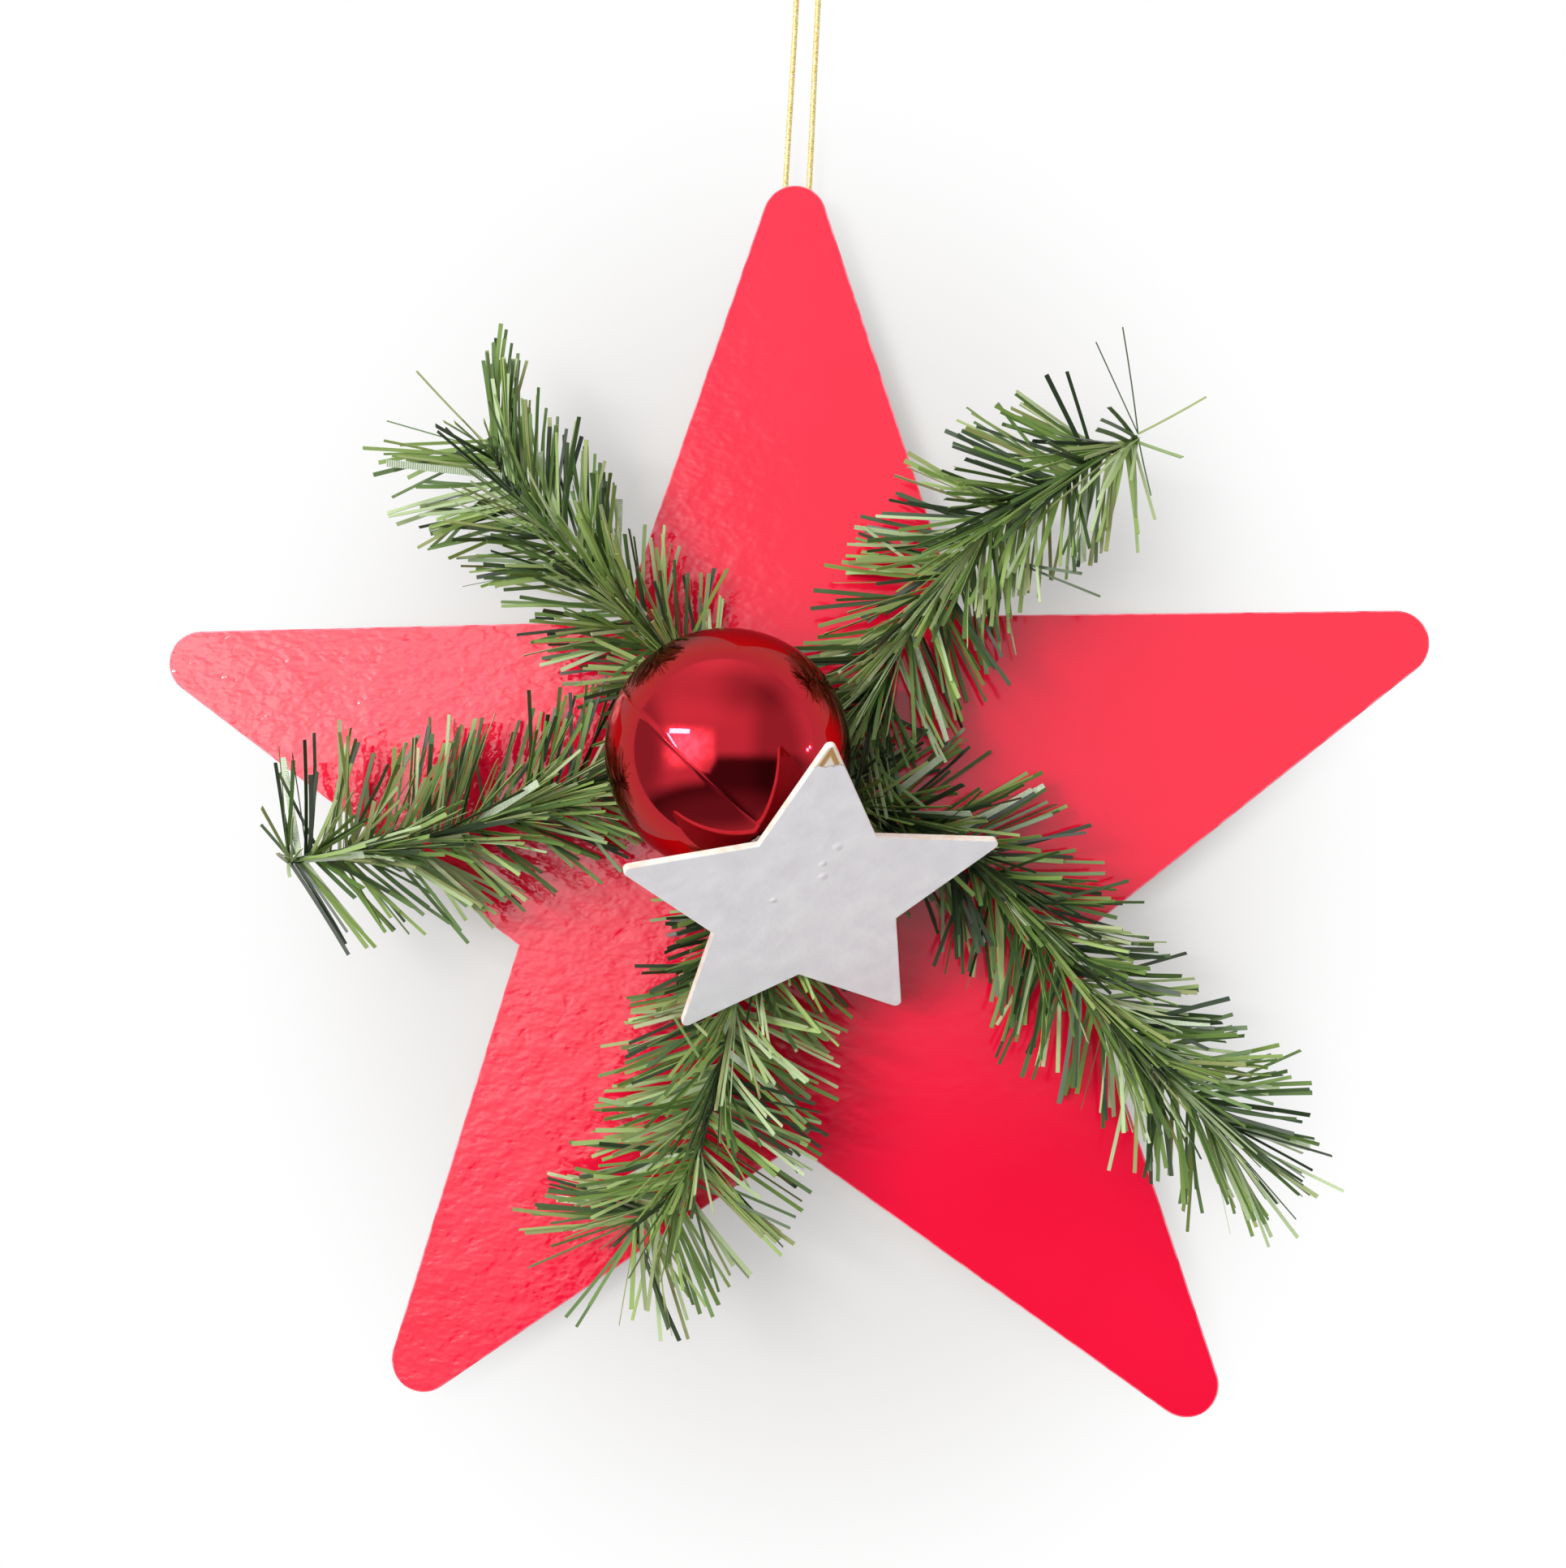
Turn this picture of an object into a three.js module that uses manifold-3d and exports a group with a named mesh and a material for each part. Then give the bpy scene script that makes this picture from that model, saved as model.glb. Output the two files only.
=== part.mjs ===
// Star ornament: a flat red star with three pieces of artificial fir garland, a glossy bauble and
// a small white star glued on its front, hanging from a loop of gold cord.
// Millimetres, +Z up, the front faces -Y, and the origin is where a hook carries the cord's loop.
// The star is drawn as it lies on a bench: x to the right, y up the star and z out of its front
// sheet, from the star's centre. One group turns the bench upright.

import * as THREE from 'three';
import { mergeGeometries, mergeVertices } from 'three/addons/utils/BufferGeometryUtils.js';
import Module from 'manifold-3d';

// Clearance between pieces that would touch in a turned group
const clearance = 0.3;

// Large star: its tips' distance from the centre before they are rounded, how much longer each
// tip of the hand-cut outline is, and its turn from the even fifth in degrees, clockwise from the top
const starReach = 195;
const tipLonger = [1, -3, 3, -2, 0];
const tipTurn = [-0.8, 0.7, 0.1, -0.7, -0.3];
const valleyReach = 77;
const tipRadius = 8.5;
const frontSheetThickness = 0.5;
const boardThickness = 3;

// Garland: a twisted wire, the sleeve of needle roots that it traps, and the needles
const wireDiameter = 1.8;
const rootSleeveWall = 0.8;
const needleLength = 30;
const needleWidth = 1.9;
const needleLean = 48;
const needleSpacing = 1.58;
const sleeveDiameter = wireDiameter + 2 * clearance + 2 * rootSleeveWall;

// Garland routes: [x, y, z] of the wire, each from the end that its needles lean away from. The
// upper right garland crosses over the lower one.
const garlandCrossing = [6.6, 13.5];
const lowerWireHeight = 4.5;
const upperWireHeight = lowerWireHeight + sleeveDiameter + 2 * clearance;
const lowerGarlandRoute = [
  [-131, -1, 15], [-118, 1.5, 14.5], [-104, 3, 14], [-78, 9.5, 12], [-62, 15.5, 10],
  [-48, 20, 8], [-31, 20.5, 6], [-15, 17, 4.5], [...garlandCrossing, lowerWireHeight], [26, 9.5, 6],
  [44, 1, 8], [57, -12, 10], [69, -28, 12], [84, -46, 13.5], [99, -60, 14.5], [109, -71.5, 15],
];
const upperRightGarlandRoute = [
  [90, 105, 15], [70, 95, 14], [56, 86, 13], [47, 78, 12], [31, 56, 10.5], [13, 28, 9.5],
  [...garlandCrossing, upperWireHeight], [0, -2, 9.2], [-7.5, -20.5, 9.5], [-14.5, -39, 10.5],
  [-18.5, -57, 12], [-23.5, -73.5, 14], [-30, -86.5, 15], [-41, -94.5, 15],
];
const upperLeftGarlandRoute = [
  [-17, 36.5, 5], [-23.5, 44, 6], [-30, 50.5, 7.5], [-40, 60.5, 9.5], [-54, 77, 12.5],
  [-64, 88, 14], [-73, 99, 14.8], [-77, 109, 15],
];

// Bauble, its neck and its cap
const baubleDiameter = 60;
const baubleWall = 1;
const baublePlace = [-13.2, 25.85];
const baubleAboveSheet = 7.3;
const neckDiameter = 10;
const neckLength = 5;
const neckDirection = [0.66, -0.62, -0.42];
const capWall = 0.6;
const capGap = 1.4;
const ringWireDiameter = 0.9;
const ringDiameter = 9;
const ringLegSpread = 3.4;

// Small star: it leans on the bauble, turned by these degrees about x, y and z. Its centre lies
// this far sideways from where the bauble touches it, and its lower right tip this far above
// the sheet.
const smallTipReach = 49.6;
const smallValleyReach = 24.2;
const smallTipRadius = 1.4;
const smallStarThickness = 2;
const smallStarTurn = [42, 15, -8.7];
const smallStarSideways = 15.1;
const smallStarFootHeight = 9.1;

// Hot glue: domes under the bauble and on the crossing wires, a dab under the small star's lower
// right tip, a blob between it and the bauble, and a dab over the cord's two ends
const seatGlueRadius = 17;
const seatGlueRise = 3.7;
const crossingGlueRadius = 12;
const crossingGlueCover = 1.8;
const footGlueRadius = 3.4;
const footGlueInset = 7.5;
const bridgeGlueRadius = 6.5;
const bridgeGlueHeight = 4;
const bridgeGlueFilm = 1.2;
const bridgeGlueInset = 8;
const cordGlueRadius = 9;
const cordGlueHeight = 4;
const cordGlueInset = 4;

// Cord: its route behind the upper tip, over the hook and back, as [x, y] from the hook
const cordDiameter = 1.5;
const cordBehindBoard = 0.25;
const cordAboveTip = 65;
const hookSideways = 4.2;
const cordRoute = [
  [-8.45, -86], [-8.1, -80], [-7.55, -72], [-6.95, -63], [-6.25, -53], [-5.55, -43],
  [-4.85, -33], [-4.15, -23], [-3.55, -13], [-3.15, -6], [-3, -3], [-2.6, -1.5], [-1.5, -0.4],
  [0, 0], [1.5, -0.4], [2.6, -1.5], [3, -3], [2.85, -6], [2.35, -13], [1.75, -23], [1.15, -33],
  [0.6, -43], [0.05, -53], [-0.55, -63], [-1.05, -72], [-1.5, -80], [-1.85, -86],
];

// Finishes
const finish = (color, roughness, metalness = 0) =>
  new THREE.MeshStandardMaterial({ color, roughness, metalness });
const boardCore = finish(0xb59a78, 0.8);
const redFilm = finish(0xe0182e, 0.22);
const twistedWire = finish(0x4c5148, 0.45, 0.8);
const pvcNeedle = finish(0x3f6b35, 0.6);
const redLacquer = finish(0xc00a1c, 0.08, 0.85);
const silverCap = finish(0xc9c9cc, 0.25, 1);
const whitePaint = finish(0xd9d8dc, 0.6);
const hotGlue = finish(0xe6dcd0, 0.35);
const goldBraid = finish(0xd8b65c, 0.4, 0.7);

const rad = THREE.MathUtils.degToRad;
const point = ([x, y, z]) => new THREE.Vector3(x, y, z);

// From one tip of a star to the next, and the direction of its upper tip, in degrees
const fifth = 72;
const upward = 90;

// Manifold solids for cutting and joining
const wasm = await Module();
wasm.setup();

function toSolid(geometry) {
  const bare = geometry.clone();
  bare.deleteAttribute('normal');
  bare.deleteAttribute('uv');
  const merged = mergeVertices(bare, 1e-4);
  return new wasm.Manifold(new wasm.Mesh({
    numProp: 3,
    vertProperties: new Float32Array(merged.attributes.position.array),
    triVerts: new Uint32Array(merged.index.array),
  }));
}

function toGeometry(solid) {
  const mesh = solid.getMesh();
  const geometry = new THREE.BufferGeometry();
  geometry.setAttribute('position', new THREE.BufferAttribute(mesh.vertProperties, 3));
  geometry.setIndex(new THREE.BufferAttribute(mesh.triVerts, 1));
  geometry.computeVertexNormals();
  return geometry;
}

function piece(name, geometry, material, parent) {
  const mesh = new THREE.Mesh(geometry, material);
  mesh.name = name;
  parent.add(mesh);
  return mesh;
}

// Outlines

const even = [0, 0, 0, 0, 0];

function starCorners(reach, valley, longer = even, turns = even) {
  const corner = (distance, angle) =>
    new THREE.Vector2(distance * Math.cos(angle), distance * Math.sin(angle));
  return longer.flatMap((extra, i) => [
    corner(reach + extra, rad(upward - fifth * i + turns[i])),
    corner(valley, rad(upward - fifth * (i + 0.5))),
  ]);
}

// Half the angle of a star's tip
const halfTip = (reach, valley) =>
  Math.atan2(valley * Math.sin(rad(fifth / 2)), reach - valley * Math.cos(rad(fifth / 2)));

// A star whose tips are arcs, drawn clockwise
function starShape(corners, radius) {
  const shape = new THREE.Shape();
  const last = corners.length - 1;
  shape.moveTo(corners[last].x, corners[last].y);
  for (let i = 0; i < corners.length; i += 2) {
    const tip = corners[i];
    const before = corners[i === 0 ? last : i - 1].clone().sub(tip).normalize();
    const after = corners[i + 1].clone().sub(tip).normalize();
    const halfAngle = Math.acos(before.dot(after)) / 2;
    const middle = before.clone().add(after).normalize();
    const centre = tip.clone().addScaledVector(middle, radius / Math.sin(halfAngle));
    const outward = Math.atan2(-middle.y, -middle.x);
    const sweep = Math.PI / 2 - halfAngle;
    shape.absarc(centre.x, centre.y, radius, outward + sweep, outward - sweep, true);
    shape.lineTo(corners[i + 1].x, corners[i + 1].y);
  }
  return shape;
}

const extrude = (shape, depth, curveSegments) =>
  new THREE.ExtrudeGeometry(shape, { depth, bevelEnabled: false, curveSegments });

// Tubes

const curveThrough = (route) => new THREE.CatmullRomCurve3(route.map(point), false, 'centripetal');

function ringShape(diameter, sides, boreDiameter = 0) {
  const polygon = (d) => Array.from({ length: sides }, (_, i) => new THREE.Vector2(
    (d / 2) * Math.cos((i / sides) * 2 * Math.PI), (d / 2) * Math.sin((i / sides) * 2 * Math.PI)));
  const shape = new THREE.Shape(polygon(diameter));
  if (boreDiameter > 0) shape.holes.push(new THREE.Path(polygon(boreDiameter).reverse()));
  return shape;
}

function tube(curve, shape, stepLength) {
  const steps = Math.ceil(curve.getLength() / stepLength);
  return new THREE.ExtrudeGeometry(shape, { steps, bevelEnabled: false, extrudePath: curve });
}

// A dome of glue, flat side down on z = 0
function dome(radius, height, rings = 5, sides = 20) {
  const profile = [new THREE.Vector2(0, 0)];
  for (let i = 0; i <= rings; i += 1) {
    const a = (i / rings) * (Math.PI / 2);
    const r = i === rings ? 0 : radius * Math.cos(a);
    profile.push(new THREE.Vector2(r, height * Math.sin(a)));
  }
  return new THREE.LatheGeometry(profile, sides).rotateX(Math.PI / 2);
}

// A ball whose flats, not its corners, are at the radius
function ball(radius, detail) {
  const corners = radius / Math.cos(Math.PI / detail) ** 2;
  return new THREE.SphereGeometry(corners, detail, detail / 2);
}

// Where the garlands, the bauble and the small star lie

const garlandStep = 10;
const garlandSides = 6;
const garlands = [
  { name: 'lower_garland', curve: curveThrough(lowerGarlandRoute), bends: true },
  { name: 'upper_right_garland', curve: curveThrough(upperRightGarlandRoute) },
  { name: 'upper_left_garland', curve: curveThrough(upperLeftGarlandRoute) },
];

const baubleRadius = baubleDiameter / 2;
const baubleAt = point([...baublePlace, baubleAboveSheet + baubleRadius]);
const neckAxis = point(neckDirection).normalize();
const neckRim = Math.sqrt(baubleRadius ** 2 - (neckDiameter / 2) ** 2) + neckLength;
const capRadius = neckDiameter / 2 + capGap + capWall;
const capTop = neckRim + clearance + capWall;
const ringTop = capTop + ringDiameter + ringWireDiameter;

// The small star's back lies on a film of glue on the bauble, and the star slides along its own
// face until its lower right tip is at its height
const smallTurn = new THREE.Euler(...smallStarTurn.map(rad));
const [smallRight, smallUp, smallNormal] = [[1, 0, 0], [0, 1, 0], [0, 0, 1]]
  .map((axis) => point(axis).applyEuler(smallTurn));
const footDirection = rad(upward - 2 * fifth);
const atFoot = (reach) => new THREE.Vector3(
  reach * Math.cos(footDirection), reach * Math.sin(footDirection), 0);
const smallStarAt = baubleAt.clone()
  .addScaledVector(smallNormal, baubleRadius + bridgeGlueFilm + smallStarThickness)
  .addScaledVector(smallRight, smallStarSideways);
const footDrop = atFoot(smallTipReach).applyEuler(smallTurn).z;
const slide = (smallStarFootHeight - footDrop - smallStarAt.z) / smallUp.z;
smallStarAt.addScaledVector(smallUp, slide);
const smallMatrix = new THREE.Matrix4().makeRotationFromEuler(smallTurn).setPosition(smallStarAt);
const smallInverse = smallMatrix.clone().invert();

// How far the small star's outline is from its centre, at an angle in its own plane
function smallReachAt(angle) {
  const step = rad(fifth);
  const fromTip = Math.abs(((angle - rad(upward)) % step + 1.5 * step) % step - step / 2);
  const slope = halfTip(smallTipReach, smallValleyReach);
  return (smallTipReach * Math.sin(slope)) / Math.sin(slope + fromTip);
}

// The glue domes on the sheet
const domeAt = ([x, y], radius, height) => ({ x, y, radius, height });
const seatDome = domeAt(baublePlace, seatGlueRadius, baubleAboveSheet + seatGlueRise);
const crossingHeight = upperWireHeight + sleeveDiameter / 2 + crossingGlueCover;
const crossingDome = domeAt(garlandCrossing, crossingGlueRadius, crossingHeight);
const footAt = atFoot(smallTipReach - footGlueInset).applyMatrix4(smallMatrix);
const footDome = domeAt([footAt.x, footAt.y], footGlueRadius, footAt.z);

// Needles

const strandRadius = needleWidth / 2;
const rootTaper = 0.55;
const rootCircle = (sleeveDiameter - rootSleeveWall) / 2;
const firstSide = -8;
const lastSide = 188;
const lengthSpread = 0.14;

// Least distance between the segments ab and cd
function segmentGap(a, b, c, d) {
  const u = b.clone().sub(a);
  const v = d.clone().sub(c);
  const w = a.clone().sub(c);
  const uu = u.dot(u);
  const uv = u.dot(v);
  const vv = v.dot(v);
  const uw = u.dot(w);
  const vw = v.dot(w);
  const across = uu * vv - uv * uv;
  const clamp = THREE.MathUtils.clamp;
  let s = across > 1e-9 ? clamp((uv * vw - vv * uw) / across, 0, 1) : 0;
  let t = vv > 1e-9 ? (uv * s + vw) / vv : -1;
  if (t < 0 || t > 1) {
    t = clamp(t, 0, 1);
    s = uu > 1e-9 ? clamp((uv * t - uw) / uu, 0, 1) : 0;
  }
  return w.addScaledVector(u, s).addScaledVector(v, -t).length();
}

// What the needles keep clear of, as rods: [end, end, radius]
const rods = [
  [baubleAt, baubleAt, baubleRadius],
  [baubleAt, baubleAt.clone().addScaledVector(neckAxis, ringTop), capRadius],
];
garlands.forEach((garland) => {
  const stops = garland.curve.getSpacedPoints(Math.ceil(garland.curve.getLength() / garlandStep));
  garland.rods = stops.slice(1).map((stop, i) => [stops[i], stop, sleeveDiameter / 2]);
});

const inDome = ({ x, y, radius, height }, p, margin) => {
  const across = Math.hypot(p.x - x, p.y - y) / (radius + margin);
  return Math.hypot(across, p.z / (height + margin)) < 1;
};

const inSmallStar = (p, margin) => {
  const local = p.clone().applyMatrix4(smallInverse);
  const near = local.z > -smallStarThickness - margin && local.z < margin;
  return near && Math.hypot(local.x, local.y) < smallReachAt(Math.atan2(local.y, local.x)) + margin;
};

function isClear(root, tip, others) {
  const margin = strandRadius + clearance;
  if (Math.min(root.z, tip.z) < margin) return false;
  if (others.some(([a, b, radius]) => segmentGap(root, tip, a, b) < radius + margin)) return false;
  const samples = [0, 0.2, 0.4, 0.6, 0.8, 1].map((t) => root.clone().lerp(tip, t));
  const domes = [seatDome, crossingDome, footDome];
  return samples.every((p) => !inSmallStar(p, 2 * margin)
    && domes.every((glue) => !inDome(glue, p, margin)));
}

// A needle: three sides, a narrow root and a blunt cut end
function strand(root, tip) {
  const along = tip.clone().sub(root).normalize();
  const side = new THREE.Vector3(0, 0, 1).cross(along).normalize();
  const up = along.clone().cross(side);
  const positions = [];
  [[root, strandRadius * rootTaper], [tip, strandRadius]].forEach(([end, radius]) => {
    for (let i = 0; i < 3; i += 1) {
      const a = rad(90 + 120 * i);
      const corner = end.clone()
        .addScaledVector(side, radius * Math.cos(a)).addScaledVector(up, radius * Math.sin(a));
      positions.push(corner.x, corner.y, corner.z);
    }
  });
  const index = [2, 1, 0, 3, 4, 5];
  for (let i = 0; i < 3; i += 1) {
    const j = (i + 1) % 3;
    index.push(i, j, j + 3, i, j + 3, i + 3);
  }
  const geometry = new THREE.BufferGeometry();
  geometry.setAttribute('position', new THREE.Float32BufferAttribute(positions, 3));
  geometry.setIndex(index);
  return geometry;
}

// Needles stand all round the front of the wire and lean along it. One that would meet the
// sheet, another needle or another piece is left out. Each is [root, tip].
function needlesAlong(garland, standing) {
  const out = new THREE.Vector3(0, 0, 1);
  const length = garland.curve.getLength();
  const count = Math.floor(length / needleSpacing);
  const golden = (Math.sqrt(5) - 1) / 2;
  const lean = rad(needleLean);
  const otherWires = garlands.filter((g) => g !== garland).flatMap((g) => g.rods);
  const needles = [];
  for (let i = 0; i < count; i += 1) {
    const station = ((i + 0.5) / count) * garland.rods.length;
    const [from, to] = garland.rods[Math.floor(station)];
    const along = to.clone().sub(from).normalize();
    const side = along.clone().cross(out).normalize();
    const front = side.clone().cross(along);
    const round = rad(firstSide + (lastSide - firstSide) * ((i * golden) % 1));
    const spoke = side.clone().multiplyScalar(Math.cos(round)).addScaledVector(front, Math.sin(round));
    const direction = along.multiplyScalar(Math.cos(lean)).addScaledVector(spoke, Math.sin(lean));
    const root = from.clone().lerp(to, station % 1).addScaledVector(spoke, rootCircle);
    const longer = 2 * ((i * golden * Math.PI) % 1) - 1;
    const reach = needleLength * (1 + lengthSpread * longer);
    const tip = root.clone().addScaledVector(direction, reach);
    const others = [...rods, ...otherWires, ...standing.map(([a, b]) => [a, b, strandRadius])];
    if (isClear(root, tip, others)) {
      standing.push([root, tip]);
      needles.push([root, tip]);
    }
  }
  return needles;
}

// A garland's sleeve and needles as one solid, of which only the stretch on one side of the
// crossing is made if a side is given: -1 is left, 1 is right
function brush(sleeve, needles, side = 0) {
  const edge = side * garlandCrossing[0] + clearance / 2;
  const stretch = side === 0 ? sleeve : sleeve.trimByPlane([side, 0, 0], edge);
  const own = needles.filter(([root]) => side === 0 || side * root.x > edge + strandRadius);
  return toGeometry(stretch.add(toSolid(mergeGeometries(own.map(([root, tip]) => strand(root, tip))))));
}

// The ornament

const bench = new THREE.Group();
bench.rotation.x = Math.PI / 2;

// Large star: the board with its glossy sheet
const starOutline = starShape(starCorners(starReach, valleyReach, tipLonger, tipTurn), tipRadius);
const boardBack = -frontSheetThickness - boardThickness;
const sheet = extrude(starOutline, frontSheetThickness, 8).translate(0, 0, -frontSheetThickness);
const board = extrude(starOutline, boardThickness, 8).translate(0, 0, boardBack);
piece('star_board', board, boardCore, bench);
piece('star_front_sheet', sheet, redFilm, bench);

// Garlands: the wire, and the sleeve of roots round it with its needles. The lower garland bends
// round the star's centre, so its needles are two solids that meet under the crossing.
const standing = [];
const wireShape = ringShape(wireDiameter, garlandSides);
const sleeveShape = ringShape(sleeveDiameter, garlandSides, wireDiameter + 2 * clearance);
garlands.forEach((garland) => {
  piece(`${garland.name}_wire`, tube(garland.curve, wireShape, garlandStep), twistedWire, bench);
  const sleeve = toSolid(tube(garland.curve, sleeveShape, garlandStep));
  const needles = needlesAlong(garland, standing);
  if (garland.bends) {
    piece(`${garland.name}_left_needles`, brush(sleeve, needles, -1), pvcNeedle, bench);
    piece(`${garland.name}_right_needles`, brush(sleeve, needles, 1), pvcNeedle, bench);
  } else {
    piece(`${garland.name}_needles`, brush(sleeve, needles), pvcNeedle, bench);
  }
});
let leastGap = Infinity;
standing.forEach(([a, b], i) => standing.slice(i + 1).forEach(([c, d]) => {
  leastGap = Math.min(leastGap, segmentGap(a, b, c, d) - needleWidth);
}));
console.log(`${standing.length} needles, least gap ${leastGap.toFixed(2)} mm`);

// Bauble: a blown shell with a neck, its cap and its spring ring
const baubleGroup = new THREE.Group();
baubleGroup.position.copy(baubleAt);
baubleGroup.quaternion.setFromUnitVectors(new THREE.Vector3(0, 1, 0), neckAxis);
bench.add(baubleGroup);

function sphereProfile(radius, throat, count) {
  const from = Math.asin(throat / radius);
  return Array.from({ length: count + 1 }, (_, i) => {
    const a = from + (i / count) * (Math.PI - from);
    return new THREE.Vector2(i === count ? 0 : radius * Math.sin(a), radius * Math.cos(a));
  });
}

function baubleShell() {
  const innerThroat = neckDiameter / 2 - baubleWall;
  const outer = sphereProfile(baubleRadius, neckDiameter / 2, 12).reverse();
  const rim = [new THREE.Vector2(neckDiameter / 2, neckRim), new THREE.Vector2(innerThroat, neckRim)];
  const inner = sphereProfile(baubleRadius - baubleWall, innerThroat, 10);
  return new THREE.LatheGeometry([...outer, ...rim, ...inner], 24);
}

function baubleCap() {
  const inside = capRadius - capWall;
  const skirt = Math.sqrt(baubleRadius ** 2 - capRadius ** 2) + clearance;
  const profile = [
    [0, capTop], [inside, capTop], [capRadius, capTop - capWall], [capRadius, skirt],
    [inside, skirt], [inside, capTop - capWall], [0, capTop - capWall],
  ].map(([x, y]) => new THREE.Vector2(x, y)).reverse();
  const holeRadius = ringWireDiameter / 2 + clearance;
  const holes = [-1, 1].map((hand) => toSolid(
    new THREE.CylinderGeometry(holeRadius, holeRadius, 4 * capWall, 10)
      .translate((hand * ringLegSpread) / 2, capTop, 0)));
  return toGeometry(toSolid(new THREE.LatheGeometry(profile, 20)).subtract(holes[0]).subtract(holes[1]));
}

function baubleRing() {
  const radius = ringDiameter / 2;
  const centreY = capTop + radius + ringWireDiameter / 2;
  const leg = ringLegSpread / 2;
  const opening = Math.asin(leg / radius);
  const splay = neckDiameter / 2 - baubleWall - ringWireDiameter / 2 - clearance;
  const loop = Array.from({ length: 13 }, (_, i) => {
    const a = -Math.PI / 2 - opening - (i / 12) * 2 * (Math.PI - opening);
    return [radius * Math.cos(a), centreY + radius * Math.sin(a), 0];
  });
  const legIn = [[-splay, neckRim - neckLength, 0], [-leg, capTop - capWall, 0]];
  const legOut = [[leg, capTop - capWall, 0], [splay, neckRim - neckLength, 0]];
  const route = curveThrough([...legIn, ...loop, ...legOut]);
  return tube(route, ringShape(ringWireDiameter, 6), 2 * ringWireDiameter);
}

piece('bauble_shell', baubleShell(), redLacquer, baubleGroup);
piece('bauble_cap', baubleCap(), silverCap, baubleGroup);
piece('bauble_ring', baubleRing(), silverCap, baubleGroup);

// Small star
const smallOutline = starShape(starCorners(smallTipReach, smallValleyReach), smallTipRadius);
const smallStar = extrude(smallOutline, smallStarThickness, 4).translate(0, 0, -smallStarThickness);
const smallMesh = piece('small_star', smallStar, whitePaint, bench);
smallMesh.applyMatrix4(smallMatrix);

// Hot glue, cut to the pieces that it holds
const smallEdgeDistance = smallTipReach * Math.sin(halfTip(smallTipReach, smallValleyReach));
const grown = 1 + clearance / smallEdgeDistance;
const smallStarRoom = (depthAbove) => toSolid(
  extrude(smallOutline, smallStarThickness + clearance + depthAbove, 4)
    .translate(0, 0, -smallStarThickness - clearance).scale(grown, grown, 1)
    .applyMatrix4(smallMatrix));
const baubleRoom = toSolid(ball(baubleRadius + clearance, 28).translate(...baubleAt));
const sleeveRoomShape = ringShape(sleeveDiameter + 2 * clearance, garlandSides);
const sleeveRoom = (garland) => toSolid(tube(garland.curve, sleeveRoomShape, garlandStep));
const domeSolid = ({ x, y, radius, height }) => toSolid(dome(radius, height).translate(x, y, 0));

function centreGlue() {
  let glue = domeSolid(seatDome).add(domeSolid(crossingDome)).subtract(baubleRoom);
  garlands.forEach((garland) => {
    glue = glue.subtract(sleeveRoom(garland));
  });
  return toGeometry(glue);
}

function smallStarGlue() {
  const touch = new THREE.Vector2(-smallStarSideways, -slide);
  const middle = touch.clone().setLength(touch.length() - bridgeGlueInset);
  const blob = ball(bridgeGlueRadius, 16).scale(1, 1, bridgeGlueHeight / bridgeGlueRadius)
    .translate(middle.x, middle.y, -smallStarThickness - bridgeGlueHeight / 2)
    .applyMatrix4(smallMatrix);
  return toGeometry(toSolid(blob).subtract(baubleRoom).subtract(smallStarRoom(clearance)));
}

piece('centre_glue', centreGlue(), hotGlue, bench);
piece('small_star_glue', smallStarGlue(), hotGlue, bench);
const footGlue = domeSolid(footDome).subtract(smallStarRoom(smallTipReach));
piece('small_star_foot_glue', toGeometry(footGlue), hotGlue, bench);

// Cord: one length folded over the hook, its two ends in glue on the back. The hook carries it at
// the inside of its highest point, and lies over the middle of the upper tip.
const upperTip = rad(upward + tipTurn[0]);
const upperTipReach = starReach + tipLonger[0];
const tipCut = tipRadius / Math.sin(halfTip(upperTipReach, valleyReach)) - tipRadius;
const roundedReach = upperTipReach - tipCut;
const hook = new THREE.Vector3(
  roundedReach * Math.cos(upperTip) + hookSideways,
  roundedReach * Math.sin(upperTip) + cordAboveTip,
  boardBack - cordBehindBoard - cordDiameter / 2,
);
const cordCurve = curveThrough(cordRoute.map(([x, y]) => [hook.x + x, hook.y + y, hook.z]));
const cordTube = tube(cordCurve, ringShape(cordDiameter, 8), 2 * cordDiameter);
piece('hanging_cord', cordTube, goldBraid, bench);

function cordGlue() {
  const [leftEnd] = cordRoute;
  const rightEnd = cordRoute[cordRoute.length - 1];
  const middleX = hook.x + (leftEnd[0] + rightEnd[0]) / 2;
  const middleY = hook.y + leftEnd[1] - cordGlueInset;
  const socketRadius = cordDiameter / 2 + clearance;
  let glue = toSolid(dome(cordGlueRadius, cordGlueHeight)
    .rotateX(Math.PI).translate(middleX, middleY, boardBack));
  [leftEnd, rightEnd].forEach(([x, y]) => {
    const socket = new THREE.CylinderGeometry(socketRadius, socketRadius, cordGlueRadius * 2, 12);
    socket.translate(hook.x + x, hook.y + y - clearance + cordGlueRadius, hook.z);
    glue = glue.subtract(toSolid(socket));
  });
  return toGeometry(glue);
}

piece('cord_glue', cordGlue(), hotGlue, bench);

bench.position.set(-hook.x, hook.z, cordDiameter / 2 - hook.y);

const ornament = new THREE.Group();
ornament.add(bench);

export default ornament;
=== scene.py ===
"""Dresses the star ornament: a red star with fir garland, a bauble and a small star on a gold cord.

The frame is in metres, +Z up, and the decorated front faces -Y. The pieces are laid out as on a
bench, in millimetres from the large star's centre: x to the right, y up the star and z out of its
glossy front. The matrix BENCH stands them up in the frame.
"""

import math
import random

import bmesh
import bpy
import numpy as np
from mathutils import Matrix, Vector
from mathutils.bvhtree import BVHTree

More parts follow.
